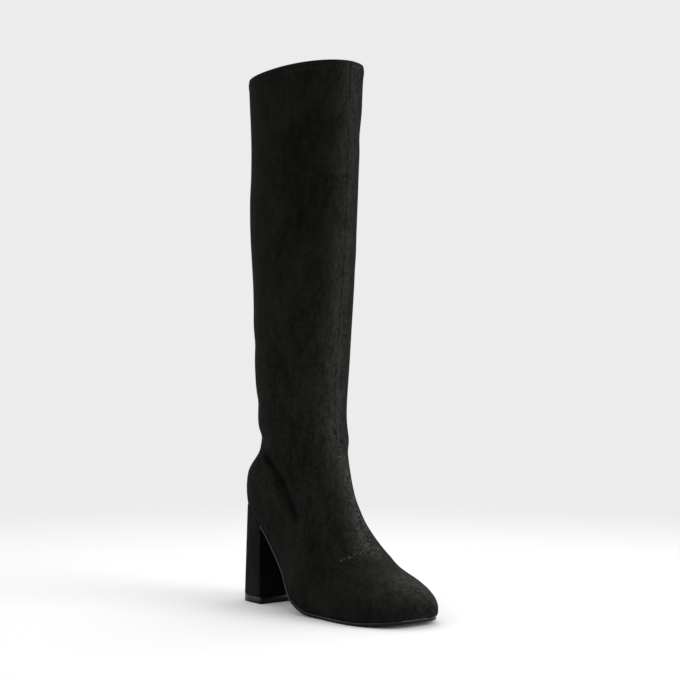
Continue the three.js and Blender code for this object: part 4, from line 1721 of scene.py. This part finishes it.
# -------------------------------------------------------------------------- the zip
@dataclass
class Zip:
    """Short zip on the inner side: coil, slider, pull tab and end stops."""

    upper: Upper
    finishes: Finishes
    slider_origin: Point = (32.9613, 35.4158, 231.3818)
    slider_across: Point = (-0.9816, -0.1668, -0.0929)
    slider_up: Point = (-0.1006, 0.0386, 0.9942)
    pull_origin: Point = (32.8577, 37.7631, 228.2626)
    pull_up: Point = (-0.0916, -0.0156, 0.9957)
    coil_pitch: float = 1.05
    coil_radius: float = 0.3
    coil_sink: float = 0.62
    coil_sides: int = 6

    def build(self) -> None:
        """Builds every piece of the zip."""
        self.build_coil()
        self.build_tape()
        self.build_slider()
        self.build_pull()
        self.build_stops()

    def _plated(self, shape: Shaper, origin: Point, up: Point) -> bpy.types.Object:
        """Puts a metal part in its place on the boot and plates it.

        Args:
            shape: The part in its own axes.
            origin: Where its origin goes.
            up: Where its Y axis points.

        Returns:
            The part's object.
        """
        across = Vector(self.slider_across).normalized()
        rise = Vector(up).normalized()
        out = across.cross(rise).normalized()
        turned = Matrix((across, rise, out)).transposed().to_4x4()
        move = Matrix.Translation(Vector(origin) * MM) @ turned @ Matrix.Scale(MM, 4)
        piece = shape.finish(move)
        wear(piece, Slot.NICKEL, self.finishes.nickel)
        return piece

    def _line(self, top: float) -> tuple[Array, Array]:
        """The zip's line up to a height, with the surface's normals."""
        line = self.upper.zip_line
        line = line[line[:, 2] < top]
        return self.upper.skin.snap(line)

    def build_coil(self) -> None:
        """Winds both rows of the coil in the channel."""
        surface, normals = self._line(self.slider_origin[2] - 3)
        lengths = run_lengths(surface)
        tangents = np.gradient(surface, axis=0)
        reach = np.array([-0.2, 0.25, 0.7, 1.15, 1.4])
        bow = np.array([-0.22, 0.04, 0.08, 0.0, -0.3]) - self.coil_sink
        tubes = Tubes(self.coil_sides, np.array([0.6, 1.0, 1.0, 0.95, 0.5]) * self.coil_radius)
        for k in range(int((lengths[-1] - 3) / self.coil_pitch) * 2):
            side = 1 if k % 2 else -1
            at = 2 + (k / 2) * self.coil_pitch
            centre, along, out = (
                on_path(at, lengths, values) for values in (surface, tangents, normals)
            )
            along = along / np.linalg.norm(along)
            across = np.cross(out, along) * side
            core = centre + across * reach[:, None] + out * bow[:, None]
            tubes.add(core, along, out, side)
        piece = tubes.make("zip_coil")
        wear(piece, Slot.TAPE, self.finishes.coil)
        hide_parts("zip_chain")
        place(piece, Body.BOOT)

    def build_tape(self) -> None:
        """Lays the strip of tape that shows at the bottom of the channel."""
        surface, normals = self._line(self.slider_origin[2] + 8)
        across = np.cross(normals, unit_rows(np.gradient(surface, axis=0)))
        outline = ((-1.9, -1.0), (0, -0.98), (1.9, -1.0), (1.9, -1.3), (-1.9, -1.3))
        rings = [surface + across * side + normals * depth for side, depth in outline]
        points = np.stack(rings, axis=1).reshape(-1, 3)
        count = len(rings)
        faces = grid_faces(len(surface), count, closed=True)
        faces.append(tuple(range(count)))
        faces.append(tuple(len(points) - 1 - i for i in range(count)))
        piece = make_object("zip_tape_strip", points, faces)
        face_outwards(piece)
        shade(piece, 60)
        wear(piece, Slot.TAPE, self.finishes.tape)
        place(piece, Body.BOOT)

    def build_slider(self) -> None:
        """Models the slider: tapered plate, side flanges and a bail in front."""
        plate = Shaper("bright_slider", (-3.7, -5.5, 0.3), (3.7, 5.5, 1.4))
        plate.cut((0, 1.5, 0), (0, 1, 0)).cut((0, 4.4, 0), (0, 1, 0))
        plate.resize((0.62, 1, 1), (0, 0, 0), lambda v: v.y < -5)
        plate.resize((0.78, 1, 1), (0, 0, 0), lambda v: v.y > 5.2)
        plate.bevel(0.32, 3)
        low_plate = Shaper("slider_back", (-3.5, -5.3, -1.6), (3.5, 5.3, -0.75))
        low_plate.resize((0.62, 1, 1), (0, 0, 0), lambda v: v.y < -5).bevel(0.25, 2)
        neck = Shaper("slider_neck", (-1.0, 0.8, -1.4), (1.0, 4.4, 0.6)).bevel(0.2, 2)
        ridge = Shaper("slider_ridge", (-0.45, 1.6, 1.3), (0.45, 4.9, 1.75)).bevel(0.18, 2)
        bail = Shaper("slider_bail", (-1.1, -5.6, 1.1), (1.1, -0.4, 4.5))
        bail.cut((0, 0, 3.2), (0, 0, 1))
        bail.resize((1, 0.62, 1), (0, -3, 0), lambda v: v.z > 4.2)
        bail.punch(Shaper("bail_eye", (-3, -4.6, 1.0), (3, -1.4, 3.55)))
        bail.bevel(0.22, 2)
        plate.join(low_plate, neck, ridge, bail)
        piece = self._plated(plate, self.slider_origin, self.slider_up)
        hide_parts("zip_slider")
        place(piece, Body.BOOT)

    def build_pull(self) -> None:
        """Models the pull tab: eye at the top, flared foot, slot and a raised rim."""
        tab = Shaper("bright_pull", (-2.4, -15.5, -0.5), (2.4, 0.6, 0.5))
        for cut_y in (-3.7, -5.3, -9.6, -14.3):
            tab.cut((0, cut_y, 0), (0, 1, 0))
        tab.resize((0.8, 1, 1), (0, 0, 0), lambda v: -5.8 < v.y < -5)
        tab.resize((1.06, 1, 1), (0, 0, 0), lambda v: -10 < v.y < -9)
        tab.resize((1.2, 1, 1), (0, 0, 0), lambda v: -14.6 < v.y < -14)
        tab.resize((0.74, 1, 1), (0, 0, 0), lambda v: v.y < -15.3)
        tab.punch(Shaper("pull_eye", (-1.6, -3.7, -2), (1.6, -0.6, 2)))
        tab.punch(Shaper("pull_slot", (-1.1, -13.4, -2), (1.1, -10.2, 2)))
        tab.bevel(0.22, 3)
        piece = self._plated(tab, self.pull_origin, self.pull_up)
        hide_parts("zip_pull")
        place(piece, Body.PULL_TAB)

    def build_stops(self) -> None:
        """Models the two small clamps that stop the slider at the top."""
        left = Shaper("bright_stops", (-2.5, 7.0, -0.9), (-0.5, 9.6, 0.35)).bevel(0.3, 3)
        right = Shaper("stop_right", (0.5, 7.0, -0.9), (2.5, 9.6, 0.35)).bevel(0.3, 3)
        left.join(right)
        place(self._plated(left, self.slider_origin, self.slider_up), Body.BOOT)


# ------------------------------------------------------------------------ the stage
@dataclass(frozen=True)
class Studio:
    """Pale floor, soft lights and the camera."""

    eye: Point = (1029, -690, 190.6)
    forward: Point = (-0.778, 0.628, 0.0)
    right: Point = (0.628, 0.778, 0.0)
    aim_right: float = -0.040
    aim_up: float = 0.040
    lens: float = 70.1
    lit_point: Point = (0.06, 0, 0.2)
    backdrop: float = 0.84
    floor: float = 0.89
    floor_radius: float = 60.0
    floor_fade: tuple[float, float] = (0.15, 1.15)

    def build(self) -> None:
        """Sets up the floor, the lights and the camera."""
        bpy.context.scene.view_settings.view_transform = "Standard"
        self.add_world()
        self.add_floor()
        self.add_light("key", (1.5, 0.75, 0.75), 1.1, 17.0)
        self.add_light("fill", (0.6, -1.8, 0.9), 1.4, 2.5)
        self.add_light("back", (-0.45, 0.4, 2.1), 1.2, 9.0)
        self.add_camera()

    def add_world(self) -> None:
        """Even pale light from all round."""
        world = bpy.data.worlds.new("studio")
        bpy.context.scene.world = world
        world.use_nodes = True
        background = world.node_tree.nodes["Background"]
        background.inputs["Color"].default_value = grey(self.backdrop)
        background.inputs["Strength"].default_value = 1.0

    def add_floor(self) -> None:
        """Pale floor that fades into the backdrop far from the boot."""
        deselect_all()
        bpy.ops.mesh.primitive_circle_add(
            vertices=96, radius=self.floor_radius, fill_type="NGON")
        floor = bpy.context.object
        floor.name = "floor"
        sheet = Sheet("studio_floor")
        spot = sheet.add("ShaderNodeTexCoord", output="Object")
        distance = sheet.add(
            "ShaderNodeVectorMath", {"operation": "LENGTH"}, {0: spot}, "Value")
        near = sheet.add("ShaderNodeBsdfDiffuse", None, {"Color": grey(self.floor)})
        far = sheet.add("ShaderNodeEmission", None, {"Color": grey(self.backdrop)})
        share = distance.step(*self.floor_fade)
        sheet.add_output(sheet.add("ShaderNodeMixShader", None, {0: share, 1: near, 2: far}))
        floor.data.materials.append(sheet.material)

    def add_light(self, name: str, place_at: Point, size: float, power: float) -> None:
        """Adds a large soft light aimed at the middle of the boot.

        Args:
            name: Name of the light.
            place_at: Its place in metres.
            size: Side of its square in metres.
            power: Its power in watts.
        """
        data = bpy.data.lights.new(name, "AREA")
        data.shape = "SQUARE"
        data.size = size
        data.energy = power
        light = bpy.data.objects.new(name, data)
        light.location = place_at
        aim = Vector(self.lit_point) - light.location
        light.rotation_euler = aim.to_track_quat("-Z", "Y").to_euler()
        bpy.context.scene.collection.objects.link(light)

    def add_camera(self) -> None:
        """Adds the camera, aimed at the middle of the boot."""
        data = bpy.data.cameras.new("camera")
        data.lens = self.lens
        data.clip_start = 0.05
        data.clip_end = 200
        camera = bpy.data.objects.new("camera", data)
        camera.location = Vector(self.eye) * MM
        aim = (Vector(self.forward) + Vector(self.right) * self.aim_right
               + Vector((0, 0, 1)) * self.aim_up)
        camera.rotation_euler = aim.to_track_quat("-Z", "Y").to_euler()
        bpy.context.scene.collection.objects.link(camera)
        bpy.context.scene.camera = camera


def dress_frame_nodes(finishes: Finishes) -> None:
    """Gives the frame's nodes that stay their finish."""
    for name, material in (("insole", finishes.lining), ("zip_tape", finishes.tape)):
        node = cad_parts[name]
        node.data.materials.clear()
        node.data.materials.append(material)


def sew_rows(upper: Upper, finishes: Finishes) -> None:
    """Sews the rows of stitches that show.

    Args:
        upper: The finished upper, with its lines.
        finishes: The boot's finishes.
    """
    zip_surface, zip_normals = upper.skin.snap(upper.zip_line)
    zip_rows = [beside(zip_surface, zip_normals, side) for side in (-3.4, 3.4)]
    Stitching("hem_stitches", upper, finishes.thread).build([upper.hem_line])
    Stitching("zip_stitches", upper, finishes.thread, 1.9, 0.9, 0.2).build(zip_rows)
    Stitching("cross_seam_stitches", upper, finishes.thread, 1.7, 1.1, 0.24).build(
        [upper.cross_line])


def main() -> None:
    """Builds the boot and its studio."""
    logging.basicConfig(level=logging.INFO, format="%(name)s: %(message)s")
    finishes = Finishes()
    last = Last()
    feather = Feather()
    upper = Upper(last, feather, finishes)
    upper.build()
    sew_rows(upper, finishes)
    Outsole(last, feather, finishes).build()
    Heel(feather, finishes).build()
    Zip(upper, finishes).build()
    dress_frame_nodes(finishes)
    Studio().build()
    deselect_all()


if __name__ == "__main__":
    main()
